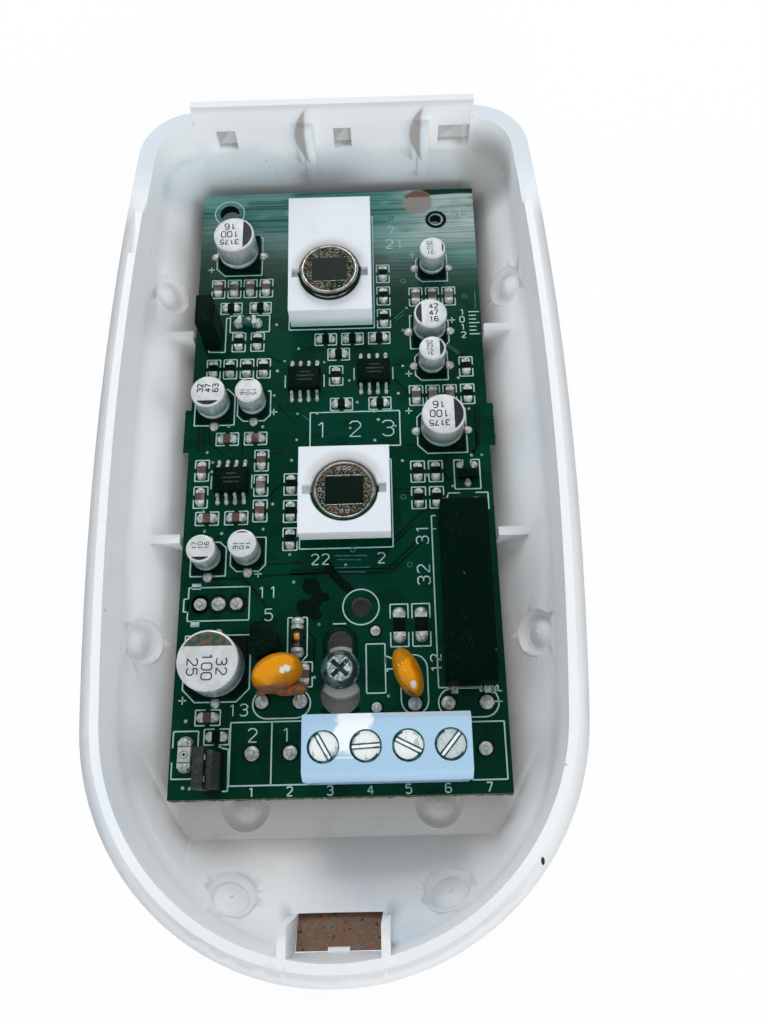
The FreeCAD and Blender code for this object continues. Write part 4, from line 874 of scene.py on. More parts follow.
def plainFigures():
    upright = math.pi / 2
    figures = [("+", x, y, 1.7) for x,
               y in ((-20.4, 33.0), (11.9, 34.9), (-9.8, 7.3), (10.5, 6.9), (10.7, 13.2),
                                             (17.7, 22.5), (-11.4, -17.9), (-21.0, -35.2))]
    figures += [(str(number), x, -47.0, 1.1)
                for number, x in enumerate((-11.4, -6.5, -1.3, 3.9, 8.8, 13.9, 19.2), start=1)]
    figures += [("2", -11.5, -39.9, 1.7), ("1", -7.0, -39.9, 1.7), ("11", -10.0, -20.6, 1.6),
                ("5", -9.8, -23.8, 1.6), ("13", -13.5, -36.6, 1.5), ("21", 9.1, 37.1, 1.7),
                ("7", 8.6, 39.7, 1.5), ("40", 19.6, 43.0, 2.2), ("31", 11.8, -12.7, 1.7, upright),
                ("32", 11.8, -18.6, 1.7, upright), ("22", -2.7, -16.0, 1.5), ("2", 5.9, -16.0, 1.5),
                ("12", 13.0, -31.0, 1.4, upright), ("11", 20.9, -35.6, 1.4, upright),
                ("17", 6.9, -31.0, 1.4, upright)]
    marks = [stroke for figure in figures for stroke in lettering(*figure)]
    for step in range(7):  # the aiming scale
        y = 19.9 + step * 0.667
        marks.append([(20.36, y), (22.0 if step % 3 == 0 else 21.5, y)])
    for figure in (("1", 19.4, 23.9, 1.0), ("0", 19.3, 22.55, 1.0), ("1", 19.4, 21.2, 1.0),
                   ("2", 19.4, 19.8, 1.0),
                   ("1 2 3", 2.4, 4.15, 2.5)):
        marks += lettering(*figure)
    return marks


ribbons("partOutlines", partOutlines(), silkLook["width"], silkLook["height"], "silkInk", silkLook["corner"])
ribbons("plainFigures", plainFigures(), silkLook["letter"], silkLook["height"], "silkInk", 0.06)

isolation = [
    [(-6.9, -18.1), (7.1, -18.2), (11.7, -13.8)], [(-6.9, -17.5), (6.9, -17.6), (11.2, -13.4)],
    [(5.1, -15.9), (11.9, -9.1), (13.8, -9.1)], [(6.1, -15.6), (10.8, -10.9)], [(-7, -16.3), (-5.3, -16.3)],
    [(7.8, -5.6), (10.5, -5.7)], [(7.8, -6.2), (10.4, -6.3)],
    [(16, -0.1), (15.5, -3.5), (15.8, -4.8), (16.6, -3.9)], [(20.4, 3.4), (20.4, 0.6), (19.6, -0.4)],
    [(-20.9, -18.6), (-13.5, -18.5), (-11.1, -21.2), (-10.2, -22.7)], [(-10.8, -18.2), (-1.8, -17.9)],
    [(-10.5, -16.5), (-5.1, -16.5)], [(-4.3, -26.1), (-3.4, -27.2), (-3.5, -30.2), (-4, -31.3)],
    [(-4.8, -26.9), (-4.1, -27.6), (-4.2, -30.2)], [(-21, 5.3), (-20.8, 1.2)], [(-20.3, 5.3), (-20.1, 1.2)],
    [(-19.4, 4.5), (-19.3, 2.3), (-17, 0.4)], [(-16.7, 2), (-15.4, 0.7)], [(-14.3, 2.1), (-14.3, 0.5)],
    [(-9.9, 1.4), (-8.1, 1.3)], [(-10, 0.7), (-8.1, 0.7)], [(-8.2, -4.3), (-9.9, -5.9), (-9.7, -7.1)],
    [(-14.9, -10.5), (-17.9, -12.8)], [(8.2, 12.7), (10.6, 9.9)], [(8.6, 14.9), (10.1, 14.9)],
    [(9.7, 1.4), (11.4, 1.3)], [(9.6, 0.7), (11.4, 0.7)], [(20.4, 7.9), (20.3, 0.9), (19.6, -0.4)],
    [(21, 7.5), (20.7, 0.9)], [(-9.2, 8.9), (-8.4, 7.2), (-6.5, 5.6)], [(-10.8, 16.9), (-8.7, 15.7)]]
ribbons("trackGaps", isolation, 0.28, 0.012, "trackShade", 0.3)
gleams = [
    [(8.6, 22.9), (10.3, 24.6)], [(9, 22.7), (10.2, 23.8)], [(16.6, 18.1), (18.4, 16.4)],
    [(17, 18.2), (18.6, 16.6)], [(21.6, 28), (21.5, 24.6)], [(-5.4, 6.6), (-4.5, 5.8)],
    [(-0.7, -15.5), (4, -15.6)], [(-0.3, -16.1), (3, -16.2)], [(-0.7, -17.3), (4.3, -17.3)],
    [(-0.4, -17.9), (3.6, -18)]]
ribbons("trackGleams", gleams, 0.16, 0.016, "trackGleam", 0.1)

viaLook = {"radius": 0.22, "ring": 0.42, "height": 0.04}
smallVias = [
    (-9.7, 22.5), (-6.2, 18.1), (-8.3, 16.0), (-2.2, 15.6), (-9.4, 14.3), (-9.8, 10.1), (-6.2, 6.9),
    (-3.3, 6.9), (10.7, 24.9), (10.0, 20.9), (9.8, 14.6), (9.0, 9.9), (18.2, 12.3), (1.6, 12.3), (2.8, 8.6),
    (5.3, 7.0), (5.9, 5.6), (19.5, 7.0), (19.5, -0.6), (21.0, -0.6), (8.4, 4.5), (5.3, 2.2), (1.7, 4.3),
    (-11.4, 4.9), (-16.5, 5.1), (-19.5, 0.9), (-6.3, 2.6), (-7.0, -0.7), (-9.6, -7.5), (-19.3, -11.4),
    (-16.8, -11.8), (-18.6, -0.7), (-18.7, -2.2), (-10.9, -11.3), (-7.0, -15.2), (-19.6, -8.3), (-11.5, -2.1),
    (9.3, -1.2), (16.5, -5.4), (0.9, -16.9), (-6.4, -19.2), (12.8, -3.6), (-2.8, -25.3), (-3.4, -32.5),
    (-20.4, -37.9), (-20.3, -46.3), (-19.4, -46.4), (6.5, -35.2)]
ringVias = [(19.9, 26.8), (9.3, -6.9), (9.9, -17.1), (1.9, -14.7), (10.3, 29.9), (8.7, 42.3)]
viaDisc = turned("viaDisc", [(0, 0), (1, 0), (1, 0.7), (0.72, 1), (0.4, 0.55), (0, 0.4)], 14)
viaRing = turned("viaRing", [(0.66, 0), (1, 0), (1, 1), (0.66, 1), (0.66, 0)], 20)
for name, mesh, places, radius, finish, scatter in (
        ("smallVias", viaDisc, smallVias, viaLook["radius"], "viaTin", 0.12),
        ("ringVias", viaRing, ringVias, viaLook["ring"], "trackGleam", 0.05)):
    spots = [(onBoard(x, y), 0.0, (radius, radius, viaLook["height"])) for x, y in places]
    scattered(name, mesh, spots, finish, scatter)
print("board: print, track gaps and vias")


# Solder: half width of a fillet beside a chip, a load resistor and the lamp

solderLook = {"chip": 0.56, "load": 0.85, "stat": 0.75}
blobProfile = [(0, 0), (1, 0), (0.97, 0.25), (0.84, 0.6), (0.6, 0.87), (0.3, 0.98), (0, 1)]
filletSpots = []
for chip in chips:
    side = solderLook[chip["node"][:4]]
    for sign in (-1, 1):
        spot = chip["middle"] + chip["along"] * sign * (chip["core"] + side * 0.75) * mm
        spot.z = boardTop
        filletSpots.append((spot, chip["turn"], (side, chip["half"] * 1.08, chip["height"] * 1.12)))
for x, y in chipPlaces:
    for step in range(4):
        for sign in (-1, 1):
            filletSpots.append((onBoard(x + (step - 1.5) * 1.27, y + sign * 3.12), 0.0, (0.33, 0.45, 0.24)))
for can in capacitors.values():
    for sign in (-1, 1):
        away = can["half"] + 0.45
        x, y = placed([(sign * away, 0)], can["x"], can["y"], can["turn"])[0]
        filletSpots.append((onBoard(x, y), can["turn"], (0.82, 0.68, 0.40)))
for size, places in (((0.55, 0.6, 0.4), ((17.65, -2.15), (19.75, -2.15), (18.7, -5.05))),
                     ((0.7, 0.8, 0.8), ((-15.75, 22.8), (-12.65, 22.8))),
                     ((0.85, 0.62, 0.5), ((-5.75, -24.85), (-5.75, -29.25)))):
    filletSpots += [(onBoard(x, y), 0.0, size) for x, y in places]
scattered("solderFillets", turned("filletBlob", blobProfile, 20, 80), filletSpots, "solderMetal", 0.08)

domes = []
for low, high in islands("solder_joints"):
    middle = (low + high) / 2
    radius = (high.x - low.x) / 2 / mm
    domes.append((Vector((middle.x, middle.y, boardTop)), 0.0, (radius, radius, 0.5 * radius)))
domeProfile = [(0, 0), (1, 0), (0.98, 0.16), (0.8, 0.36), (0.55, 0.46), (0.42, 0.5), (0.38, 0.85), (0.3, 1.0),
               (0.14, 1.04), (0, 1.0)]
dome = turned("solderDome", domeProfile, 28, 60)
scattered("solderDomes", dome, domes, "solderMetal", 0.05, replaces=("solder_joints",))
print("solder:", len(filletSpots), "fillets,", len(domes), "domes")


# Electrolytic capacitors

canLook = {"edge": 0.32, "bead": 0.28, "neck": 0.16, "printHeight": 0.012, "bold": 0.15, "fine": 0.09}


def canPiece(letter, can):
    radius, foot, top = can["radius"], can["foot"], can["top"]
    neck = canLook["neck"]
    profile = [(0, foot)]
    profile += rounded((0, foot), (radius, foot), (radius, top), canLook["bead"], 3)
    profile += [(radius, foot + 0.62), (radius - neck * 0.6, foot + 0.74), (radius - neck, foot + 0.88),
                (radius - neck * 0.6, foot + 1.02), (radius, foot + 1.14)]
    profile += rounded((radius, foot + 1.2), (radius, top), (0, top), canLook["edge"], 5)
    profile.append((0, top))
    name = "can" + letter.upper()
    mesh = turned(name, profile, 72, 50)
    mesh.transform(Matrix.Translation(onBoard(can["x"], can["y"])))
    newPiece(name, mesh, "canAluminium", "canTop", replaces=("capacitor_can_" + letter,))
    secondLook(mesh, boardTop + (top - 0.2) * mm, 0.97)


canMarks = {  # rows of plain figures, the text's way up, the stripe's side, where it starts, its finish
    "a": (("3175", "100", "16"), 180, 0, 0.5, "printBlack"),
    "b": (("21", "10", "25"), 180, 0, 0.84, "printBlack"),
    "c": (("42", "47", "16"), 0, 180, 0.6, "printBlack"),
    "d": (("32", "47", "63"), 90, -90, 0.7, "printBlack"),
    "e": (("15", "10", "16"), -90, 90, 0.88, "printBlack"),
    "f": (("31", "22", "25"), 180, 0, 0.62, "printBlack"),
    "g": (("3175", "100", "16"), 180, 0, 0.54, "printBlack"),
    "h": (("17", "10", "16"), 90, -90, 0.72, "printBlack"),
    "i": (("14", "10", "16"), -90, 90, 0.88, "printBlack"),
    "j": (("32", "100", "25"), -90, 90, 0.5, "printWorn")}


def canPrint(letter, can):
    rows, wayUp, side, start, finish = canMarks[letter]
    radius = can["radius"] - canLook["edge"]
    half = math.acos(start)
    work = bmesh.new()
    ring = []
    for step in range(25):
        angle = math.radians(side) - half + 2 * half * step / 24
        ring.append((can["x"] + radius * math.cos(angle), can["y"] + radius * math.sin(angle)))
    slab(work, ring, can["top"] - 0.01, can["top"] + canLook["printHeight"])
    bmesh.ops.recalc_face_normals(work, faces=work.faces)
    name = "stripe" + letter.upper()
    newPiece(name, meshFrom(work, name), finish)
    up = math.radians(wayUp)
    height = radius * 0.36
    shift = Vector((math.cos(math.radians(side)), math.sin(math.radians(side)))) * -radius * 0.22
    marks = []
    for row, text in enumerate(rows):
        drop = (1 - row) * height * 1.42
        size = height if len(text) < 4 else height * 0.8
        x, y = can["x"] + shift.x - drop * math.sin(up), can["y"] + shift.y + drop * math.cos(up)
        marks += lettering(text, x, y, size, up, 1.6)
    width = canLook["bold"] if radius > 1.9 else canLook["fine"]
    ribbons("figures" + letter.upper(), marks, width, 0.02, "printBlack", 0.05, lift=can["top"] - 0.004)


for letter, can in capacitors.items():
    canPiece(letter, can)
    canPrint(letter, can)
    softened("capacitor_base_" + letter, "canBase" + letter.upper(), "blackMoulding", 0.09, 2)
dressed("capacitor_leads", "tinnedLead")
print("capacitors: cans, print and bases")


# Sensors

sensorLook = {"rim": 4.04, "rimThick": 0.17, "holderEdge": 0.45, "plate": 3.0, "footShare": 0.84,
              "dimple": 0.24, "well": 4.62, "wellTop": 0.35, "wellArc": (186, 364),
              "dimples": [(-3.42, 0.1), (3.42, 0.1), (-0.75, 3.2), (0.05, 3.25), (0.75, 3.2), (-0.4, -3.2),
                          (0.4, -3.2)]}


def sensorPieces(which):
    upper, can = which == "upper", "pyro_can_" + which
    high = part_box(can)[1]
    mesh = meshFrom(nodeWork(can), "sensorCan" + which.capitalize(), 40)
    newPiece("sensorCan" + which.capitalize(), mesh, "sensorMetal", "sensorFace", replaces=(can,))
    secondLook(mesh, high.z - 0.5 * mm, 0.9)
    middle = middleOf(can)
    rim = turned("sensorRim", ringProfile(sensorLook["rim"], sensorLook["rimThick"], 0.0, 30), 72, 60)
    rim.transform(Matrix.Translation((middle.x, middle.y, high.z - 0.04 * mm)))
    newPiece("sensorRim" + which.capitalize(), rim, "sensorMetal")
    softened("pyro_window_" + which, "window" + which.capitalize(), "sensorWindow", 0.06, 2)
    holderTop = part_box("sensor_holder_" + which)[1].z
    foot = None if upper else {"top": holderTop - sensorLook["plate"] * mm - 1e-5,
                               "share": sensorLook["footShare"],
                               "middle": middleOf("sensor_holder_" + which)}
    softened("sensor_holder_" + which, "holder" + which.capitalize(), "holderPlastic",
             sensorLook["holderEdge"], 4,
             foot)
    x, y = boardPlace(middle)
    level = (high.z - boardTop) / mm - 0.01
    lines = [[(x - 2.5, y + 2.15), (x + 2.5, y + 2.2)], [(x - 2.4, y - 2.2), (x + 2.5, y - 2.15)]]
    if upper:
        lines = lines[1:]
    else:
        rings = [ringPath(x + across, y + up, sensorLook["dimple"], 12) for across,
                 up in sensorLook["dimples"]]
        ribbons("canDimples", rings, 0.09, 0.03, "sensorMetal", 0.05, lift=level)
    ribbons("windowEdges" + which.capitalize(), lines, 0.08, 0.05, "sensorMetal", 0.05, lift=level)
    shade = [ringPath(x, y, sensorLook["well"], 40, *sensorLook["wellArc"])]
    ribbons("wellShade" + which.capitalize(), shade, 0.42, 0.03, "trackShade", 0.05, "sensor_metal",
            (holderTop - boardTop) / mm - sensorLook["wellTop"])


for which in ("upper", "lower"):
    sensorPieces(which)
print("sensors: cans, windows and holders")


# Terminal block and its screws

softened("terminal_block", "terminalBlock", "terminalPlastic", 0.16)
dressed("terminal_contacts", "nickelPlate")
headLook = {"turns": (-60, 3, -27, 50), "ring": 1.87, "ringWidth": 0.2, "slot": 0.31, "line": 0.1,
            "reach": 1.72, "floor": 0.34, "thick": 0.03}
ringPaths, linePaths, floorPaths = [], [], []
for number, angle in enumerate(headLook["turns"], start=1):
    node = "terminal_screw_%d" % number
    softened(node, "wireScrew%d" % number, "screwSlots", 0.07)
    x, y = boardPlace(middleOf(node))
    ringPaths.append(ringPath(x, y, headLook["ring"], 48))
    ringPaths.append(ringPath(x - 0.07, y - 0.05, headLook["ring"] - 0.2, 30, 110, 330))
    turn = math.radians(angle)
    reach = headLook["reach"]
    for edge in (-headLook["slot"], headLook["slot"]):
        linePaths.append(placed([(-reach, edge), (reach, edge)], x, y, turn))
    floorPaths.append(placed([(-reach, 0), (reach, 0)], x, y, turn))
headTop = (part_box("terminal_screw_4")[1].z - boardTop) / mm
# painted shade: dark rings round the heads and dark lines along the slot edges; the bright strips in the
# slots are painted light
ribbons("headRings", ringPaths, headLook["ringWidth"], headLook["thick"], "slotShade", 0.02, lift=headTop)
ribbons("slotEdges", linePaths, headLook["line"], headLook["thick"], "slotShade", 0.02, lift=headTop)
ribbons("slotFloors", floorPaths, headLook["floor"], 0.1, "slotFloor", 0.02, lift=headTop - 0.11)
print("terminals: block and four screws")


# Chips, relay, transistor, diodes, varistors, lamp and jumpers

for node, name, finish, width, segments in (
        ("ic_upper_left", "chipUpperLeft", "blackMoulding", 0.12, 2),
        ("ic_upper_right", "chipUpperRight", "blackMoulding", 0.12, 2),
        ("ic_lower_left", "chipLowerLeft", "blackMoulding", 0.12, 2),
        ("relay", "relayCase", "dustyMoulding", 0.35, 3),
        ("transistor", "transistorBody", "blackMoulding", 0.14, 2),
        ("small_transistor", "smallTransistor", "blackMoulding", 0.12, 2),
        ("small_diode", "smallDiode", "diodeGlaze", 0.3, 3),
        ("load_resistor_left", "loadResistorLeft", "blackMoulding", 0.06, 2),
        ("load_resistor_right", "loadResistorRight", "blackMoulding", 0.06, 2),
        ("status_led", "statusLamp", "lampBody", 0.1, 2),
        ("jumper_header_lower", "headerLower", "blackMoulding", 0.1, 2),
        ("jumper_header_upper", "headerUpper", "blackMoulding", 0.1, 2)):
    softened(node, name, finish, width, segments)
resurfaced("varistor_left", "varistorLeft", "dippedCoating", 75.0)
resurfaced("varistor_right", "varistorRight", "dippedCoating", 75.0)
resurfaced("glass_diode", "glassDiode", "diodeGlass", 60.0)
for node, finish in (("chip_resistors", "blackMoulding"), ("chip_capacitors", "brownCeramic"),
                     ("ic_leads", "tinnedLead"), ("component_leads", "tinnedLead"),
                     ("chip_ends", "tinnedLead"),
                     ("jumper_pins", "tinnedLead")):
    dressed(node, finish)

dripProfile = [(0, -1), (0.4, -0.92), (0.75, -0.62), (1, 0), (0.82, 0.55), (0.45, 0.88), (0, 1)]
dripLook = {"Left": ((-5.5, -34.3, 2.3, 1.5, 0.9), (-7.0, -34.5, 2.1, 1.6, 0.7),
                     (-10.2, -34.6, 1.9, 0.7, 0.6)),
            "Right": ((10.0, -34.9, 1.9, 0.6, 0.8),)}
for side, drips in dripLook.items():
    shapes = []
    for x, y, z, across, along in drips:
        drip = turned("drip", dripProfile, 28, 80)
        drip.transform(Matrix.Translation(onBoard(x, y, z)) @ Matrix.Diagonal((across, along, 1.1, 1)))
        shapes.append(drip)
    joined("coatingDrips" + side, shapes, "dippedDrips")
x, y = boardPlace(middleOf("status_led"))
level = (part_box("status_led")[1].z - boardTop) / mm
lines = [[(x - 0.75, y + side), (x + 0.75, y + side)] for side in (-1.02, 1.02)]
for name, paths, width, height, finish in (
        ("lampRing", [ringPath(x, y, 0.5, 24)], 0.05, 0.05, "trackGleam"),
        ("lampCore", [ringPath(x, y, 0.09, 8)], 0.16, 0.05, "printBlack"),
        ("lampLines", lines, 0.09, 0.04, "trackGleam")):
    ribbons(name, paths, width, height, finish, 0.03, "led_plastic", level)


def roundedBlocks(name, parts, finish, width, node):  # boxes from corner to corner with soft edges
    work = bmesh.new()
    for low, high in parts:
        made = bmesh.ops.create_cube(work, size=1.0)
        for vertex in made["verts"]:
            vertex.co = Vector([(low[axis] + high[axis]) / 2 + vertex.co[axis] * (high[axis] - low[axis])
                                for axis in range(3)])
    softEdged(name, meshFrom(work, name + "Block", None), finish, width, 3, replaces=(node,))


shuntLook = {"split": 0.62, "gap": 0.14, "step": 0.5, "edge": 0.22}
low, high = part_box("jumper_shunt_lower")
split = low.x + (high.x - low.x) * shuntLook["split"]
gap = shuntLook["gap"] * mm
roundedBlocks("shuntLower", [
    ((low.x, low.y, low.z), (split - gap, high.y, high.z)),
    ((split, low.y + 0.2 * mm, low.z),
     (high.x - 0.75 * mm, high.y - 0.1 * mm, high.z - shuntLook["step"] * mm)),
    ((high.x - 0.65 * mm, low.y + 0.1 * mm, low.z), (high.x, high.y - 0.4 * mm, high.z - 0.2 * mm)),
    ((split - gap * 1.5, low.y + 0.3 * mm, low.z), (split + gap, high.y - 0.3 * mm, high.z - 1.2 * mm))],
    "greyMoulding", shuntLook["edge"], "jumper_shunt_lower")
low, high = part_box("jumper_shunt_upper")
roundedBlocks("shuntUpper", [
    ((low.x, low.y, low.z), (high.x, high.y, high.z)),
    ((high.x - 0.4 * mm, low.y + 0.4 * mm, low.z - 2.3 * mm),
     (high.x + 0.25 * mm, high.y - 0.9 * mm, high.z - 1.0 * mm))],
    "blackMoulding", 0.3, "jumper_shunt_upper")
print("components: dressed")


# Marker smears, dark discs round bare lands, shade in the holes, and print on the chips

def blots(name, spots, finish="markerInk"):  # discs of (x, y, radius, stretch), each a hair higher
    random.seed(5)
    work = bmesh.new()
    for place, (x, y, radius, stretch) in enumerate(spots):
        ring = []
        for step in range(28):
            angle = 2 * math.pi * step / 28
            wobble = radius * random.uniform(0.94, 1.06)
            ring.append((x + wobble * math.cos(angle), y + wobble * stretch * math.sin(angle)))
        slab(work, ring, -0.01, 0.012 + 0.002 * place)
    bmesh.ops.recalc_face_normals(work, faces=work.faces)
    newPiece(name, meshFrom(work, name), finish)


blots("markerBlot", [(-4.0, -19.9, 1.25, 0.95), (-3.2, -20.9, 0.8, 1.0), (-2.1, -21.5, 0.75, 0.8),
                     (-3.3, -22.1, 0.9, 1.0), (-4.3, -23.2, 1.5, 0.85), (-5.0, -22.6, 0.9, 1.0),
                     (-3.3, -24.0, 0.9, 0.8)])
blots("markerStroke", [(-1.6, -16.9, 0.62, 1.0), (-1.2, -17.6, 0.68, 1.0), (-0.8, -18.3, 0.7, 1.0),
                       (-0.2, -19.0, 0.66, 1.0), (0.4, -19.6, 0.68, 1.0), (0.9, -20.1, 0.7, 1.0),
                       (1.4, -20.6, 0.62, 1.0)])
blots("landShades", [(-19.3, -22.1, 1.5, 1.0), (-16.8, -22.1, 1.5, 1.0), (-14.3, -22.1, 1.5, 1.0)],
      "trackShade")
keyhole = [(-2.0, -31.6)] + ringPath(0.1, -27.9, 2.1, 12, 180, 0) + [(2.2, -31.6)]
ribbons("keyholeShade", [keyhole, ringPath(16.0, 41.7, 1.45), ringPath(0.1, -34.9, 3.0, 30, 215, 325)],
        0.55, 0.012,
        "trackShade", 0.05)
ribbons("chipPrint", [[(x + 0.2 - width, y + row), (x + 0.2 + width, y + row)] for x, y in chipPlaces
                      for row, width in ((0.75, 0.8), (0.1, 1.35), (-0.55, 1.1))], 0.26, 0.02,
                      "greyMoulding", 0.05,
        lift=1.585)
ribbons("filledMarks", [[(-20.6, -19.55), (-19.3, -19.55)], [(-20.5, -24.85), (-19.3, -24.85)]], 0.85, 0.03,
        "silkInk", 0.02)


# Torn tabs, where the board was broken out of its panel, and the web along its lower edge

tabLook = {"from": 0.9, "to": 7.9, "fibres": 60, "length": 0.5, "thick": 0.1}
webLook = {"count": 90, "inset": 0.9, "reach": (0.12, 0.26), "outer": (-0.95, -0.6), "inner": (-1.2, -0.35)}


def tornTabs():
    random.seed(11)
    spots = []
    half = boardHalf.x / mm
    for side in (-1, 1):
        for step in range(tabLook["fibres"]):
            y = random.uniform(tabLook["from"] + 0.2, tabLook["to"] - 0.2)
            z = random.uniform(-1.45, -0.12)
            size = tabLook["length"] * random.uniform(0.4, 1.0)
            spots.append((onBoard(side * (half - 0.12), y, z), random.uniform(0, 6.28),
                          (size, tabLook["thick"], tabLook["thick"])))
    fibre = turned("fibre", [(0, -1), (0.8, -0.5), (1, 0), (0.8, 0.5), (0, 1)], 6)
    scattered("tornTabs", fibre, spots, "tornLaminate", 0.2)


def scoredEdge():
    random.seed(21)
    work = bmesh.new()
    count, low = webLook["count"], -boardHalf.y / mm
    outer, inner = [], []
    for step in range(count + 1):
        x = (step / count * 2 - 1) * (boardHalf.x / mm - webLook["inset"])
        reach = low - random.uniform(*webLook["reach"])
        outer.append([work.verts.new(onBoard(x, reach, z)) for z in webLook["outer"]])
        inner.append([work.verts.new(onBoard(x, low + 0.05, z)) for z in webLook["inner"]])
    for a, b, c, d in zip(outer, outer[1:], inner, inner[1:]):
        for face in ((a[0], b[0], b[1], a[1]), (a[1], b[1], d[1], c[1]), (c[1], d[1], d[0], c[0]),
                     (c[0], d[0], b[0], a[0])):
            work.faces.new(face)
    for end in (0, count):
        work.faces.new((outer[end][0], outer[end][1], inner[end][1], inner[end][0]))
    bmesh.ops.recalc_face_normals(work, faces=work.faces)
    newPiece("scoredEdge", meshFrom(work, "scoredEdge"), "tornLaminate")


tornTabs()
scoredEdge()
print("board: smears, torn tabs and scored edge")


# Knock-outs: fine raised lines round each thin place in the housing

knockLook = {"places": ((26.3, 34.8), (26.6, -20.6), (12.8, -42.0), (13.3, -52.0)), "outer": 3.2,
             "inner": 2.3, "depth": 0.9, "line": 0.07, "probe": 3.55, "nipple": 0.34, "highest": 11.5}


def wallUnder(tree, x, y):  # the middle of a thin place and the turn that lays a ring on its wall
    hits = []
    for step in range(8):
        angle = math.radians(45 * step)
        start = Vector((x + knockLook["probe"] * math.cos(angle), y + knockLook["probe"] * math.sin(angle),
                        60))
        hit = tree.ray_cast(start * mm, Vector((0, 0, -1)))[0]
        if hit is not None and hit.z < knockLook["highest"] * mm:
            hits.append(hit)
    middle = sum(hits, Vector()) / len(hits)
    slope = [sum((hit[axis] - middle[axis]) * (hit.z - middle.z) for hit in hits) for axis in (0, 1)]
    xx = sum((hit.x - middle.x) ** 2 for hit in hits)
    yy = sum((hit.y - middle.y) ** 2 for hit in hits)
    xy = sum((hit.x - middle.x) * (hit.y - middle.y) for hit in hits)
    scale = xx * yy - xy * xy
    fall = Vector(((slope[0] * yy - slope[1] * xy) / scale, (slope[1] * xx - slope[0] * xy) / scale))
    normal = Vector((-fall.x, -fall.y, 1)).normalized()
    centre = Vector((x * mm, y * mm, middle.z + fall.x * (x * mm - middle.x) + fall.y * (y * mm - middle.y)))
    return Matrix.Translation(centre) @ Vector((0, 0, 1)).rotation_difference(normal).to_matrix().to_4x4()


def knockRings():
    work = bmesh.new()
    work.from_mesh(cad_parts["rear_housing"].data)
    tree = BVHTree.FromBMesh(work)
    work.free()
    line, nipple = knockLook["line"], knockLook["nipple"]
    shapes = [(ringProfile(knockLook["outer"], line, 0.0, 45), 48, 80),
              (ringProfile(knockLook["inner"], line, -knockLook["depth"], 45), 48, 80),
              ([(0, -0.5), (nipple, -0.45), (0.3, -0.3), (0.16, -0.2), (0, -0.17)], 24, 35)]
    meshes = []
    for across, y in knockLook["places"]:
        for x in (-across, across):
            wall = wallUnder(tree, x, y)
            for shape in shapes:
                mesh = turned("knockShape", *shape)
                mesh.transform(wall)
                meshes.append(mesh)
    joined("knockRings", meshes, "housingPlastic", body="housing")


knockRings()
print("housing: knock-out lines")

# painted shadow: a dark raised ring round the board screw
low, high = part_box("board_screw")
radius = (high.x - low.x) / 2 / mm
shadowRing = turned("screwCollar", [(radius - 0.2, 0.12), (radius + 0.32, 0.12), (radius + 0.34, 0.4),
                                (radius + 0.1, 0.55), (radius - 0.2, 0.55), (radius - 0.2, 0.12)], 64, 60)
middle = middleOf("board_screw")
shadowRing.transform(Matrix.Translation((middle.x, middle.y, boardTop)))
newPiece("screwCollar", shadowRing, "slotShade", body="housing")
speck = turned("rimSpeck", [(0, -0.02), (1, -0.02), (1, 0.01), (0.6, 0.03), (0, 0.03)], 18)
speck.transform(Matrix.Translation(Vector((23.52, -48.75, 18.2)) * mm) @ Matrix.Diagonal((0.2, 0.42, 1, 1)))
newPiece("rimSpeck", speck, "greyMoulding", body="housing", slot="housing_plastic")
shadeRings = [ringPath(*boardPlace(place), stretch[0] + 0.12, 28) for place, turn, stretch in domes]
ribbons("domeShades", shadeRings, 0.3, 0.012, "trackShade", 0.02)


# Floor, light and camera

studio = {"floor": 3.0, "floorColour": (0.9, 0.905, 0.91), "floorGlow": 0.87,
          "sky": ((0.55, 0.6, (1, 1.01, 1.03)), (0.84, 0.45, (1, 1.03, 1.06))),
          "lamps": (("softKey", (0.10, -0.48, 0.46), 0.55, 0.5), ("lowFront", (0.12, -0.75, 0.27), 0.3, 2.5),
                    ("lowRight", (0.72, -0.15, 0.30), 0.3, 1.45), ("lowBack", (-0.1, 0.75, 0.4), 0.3, 2.1),
                    ("lowLeft", (-0.75, 0.0, 0.33), 0.3, 1.05)), "strip": 0.6}
camera = {"place": (7.459, -44.363, 121.677), "turn": (20.079, 0.9536, -1.2086), "lens": 29.88}


def stageCard(name, low, high, finish):  # a flat rectangle between two corners, level across
    mesh = bpy.data.meshes.new(name)
    mesh.from_pydata([low, (high[0], *low[1:]), high, (low[0], *high[1:])], [], [(0, 1, 2, 3)])
    mesh.materials.append(finish)
    held(name, mesh)


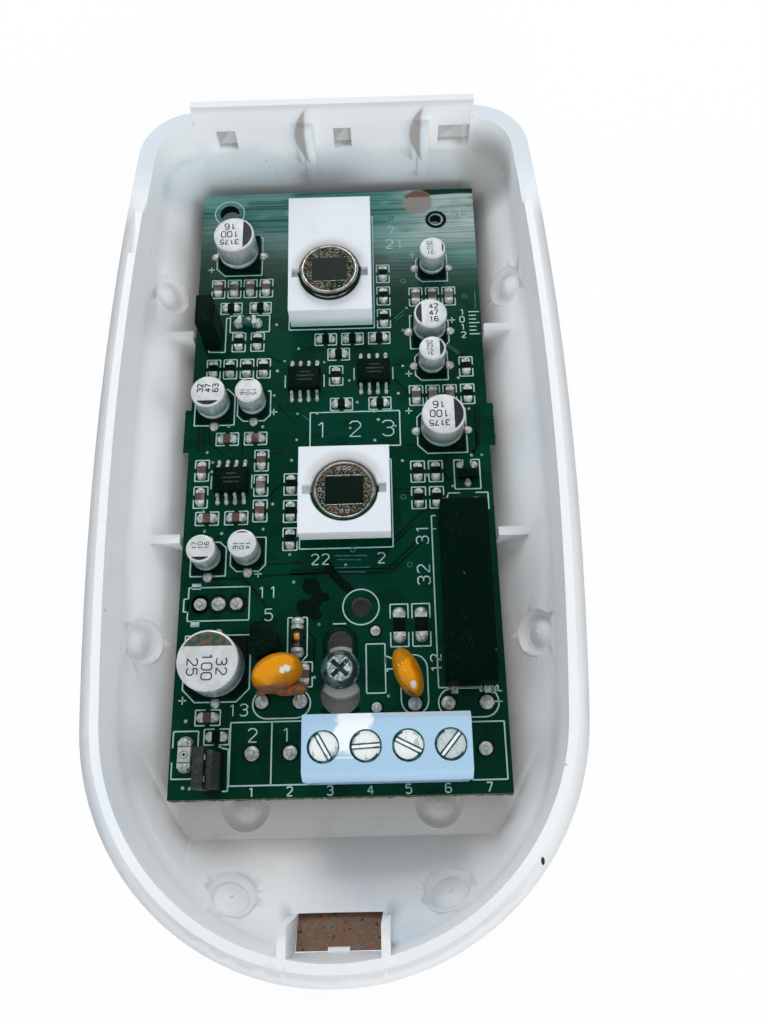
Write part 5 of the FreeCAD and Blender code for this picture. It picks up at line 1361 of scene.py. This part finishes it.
def buildFloor():
    half = studio["floor"]
    finish = Finish("studioPaper", studio["floorColour"], rough=0.9, shine=0.1)
    finish.grit(2.0, 2.0, 0.01)
    finish.done()
    seen = finish.node("ShaderNodeLightPath", {}, {}, "Is Camera Ray")
    seen = seen + finish.node("ShaderNodeLightPath", {}, {}, "Is Glossy Ray")
    seen = seen + finish.node("ShaderNodeLightPath", {}, {}, "Is Transmission Ray")
    glow = finish.node("ShaderNodeEmission", {}, {"Color": (1, 1, 1, 1), "Strength": 1.0})
    sheet = Field(finish, finish.shader.outputs[0])
    both = finish.node("ShaderNodeMixShader", {}, {0: seen * studio["floorGlow"], 1: sheet, 2: glow})
    output = next(node for node in finish.tree.nodes if node.type == "OUTPUT_MATERIAL")
    finish.tree.links.new(both.socket, output.inputs["Surface"])
    stageCard("studioFloor", (-half, -half, 0), (half, half, 0), finish.material)
    grain = Finish("tableGrain", (0.20, 0.105, 0.062), rough=0.6, shine=0.3)
    grain.blotch((0.13, 0.17, 0.16), 0.5, 4.0, 0.54, 0.6, 0.8)
    grain.blotch((0.01, 0.015, 0.012), 0.8, 4.0, 0.62, 0.66, 0.8)
    grain.done()
    # brown card inside the latch slot, for the table that shows there
    stageCard("tablePatch", Vector((-5.19, -58.45, 9.6)) * mm, Vector((5.19, -54.12, 6.35)) * mm,
              grain.material)


def buildSky():  # bright round the sides, darker overhead where the photographer stands
    world = bpy.data.worlds.new("studioSky")
    world.use_nodes = True
    bpy.context.scene.world = world
    tree = world.node_tree
    background = next(node for node in tree.nodes if node.type == "BACKGROUND")
    output = next(node for node in tree.nodes if node.type == "OUTPUT_WORLD")
    place = addNode(tree, "ShaderNodeTexCoord", {}, {})
    parts = addNode(tree, "ShaderNodeSeparateXYZ", {}, {0: place.outputs["Generated"]})
    ramp = addNode(tree, "ShaderNodeValToRGB", {}, {0: parts.outputs["Z"]})
    for stop, (height, tone, tint) in zip(ramp.color_ramp.elements, studio["sky"]):
        stop.position = height
        stop.color = (*(tone * part for part in tint), 1)
    tree.links.new(ramp.outputs[0], background.inputs["Color"])
    background.inputs["Strength"].default_value = 1.0
    white = addNode(tree, "ShaderNodeBackground", {}, {"Color": (1, 1, 1, 1)})
    ray = addNode(tree, "ShaderNodeLightPath", {}, {})
    both = addNode(tree, "ShaderNodeMixShader", {}, {
        0: ray.outputs["Is Camera Ray"], 1: background.outputs[0], 2: white.outputs[0]})
    tree.links.new(both.outputs[0], output.inputs["Surface"])


def areaLamp(name, place, target, width, height, power, glossy=True):
    light = bpy.data.lights.new(name, "AREA")
    light.shape = "RECTANGLE"
    light.size, light.size_y = width, height
    light.energy = power
    lamp = bpy.data.objects.new(name, light)
    lamp.location = place
    lamp.rotation_euler = (Vector(target) - Vector(place)).to_track_quat("-Z", "Y").to_euler()
    lamp.visible_glossy = glossy
    lamp.visible_camera = False
    bpy.context.scene.collection.objects.link(lamp)


buildFloor()
buildSky()
for name, place, depth, power in studio["lamps"]:
    areaLamp(name, place, (0, 0, 0), 0.6, depth, power, False)
areaLamp("stripLamp", onBoard(-30, 424, 466), onBoard(-30, 38, 0), 0.26, 0.1, studio["strip"])
eye = bpy.data.cameras.new("camera")
eye.lens = camera["lens"]
eye.sensor_width = 36.0
eye.clip_start = 0.005
view = bpy.data.objects.new("camera", eye)
view.location = [value * mm for value in camera["place"]]
view.rotation_euler = [math.radians(value) for value in camera["turn"]]
bpy.context.scene.collection.objects.link(view)
bpy.context.scene.camera = view
bpy.context.scene.view_settings.view_transform = "Standard"
print("studio: floor, light and camera")
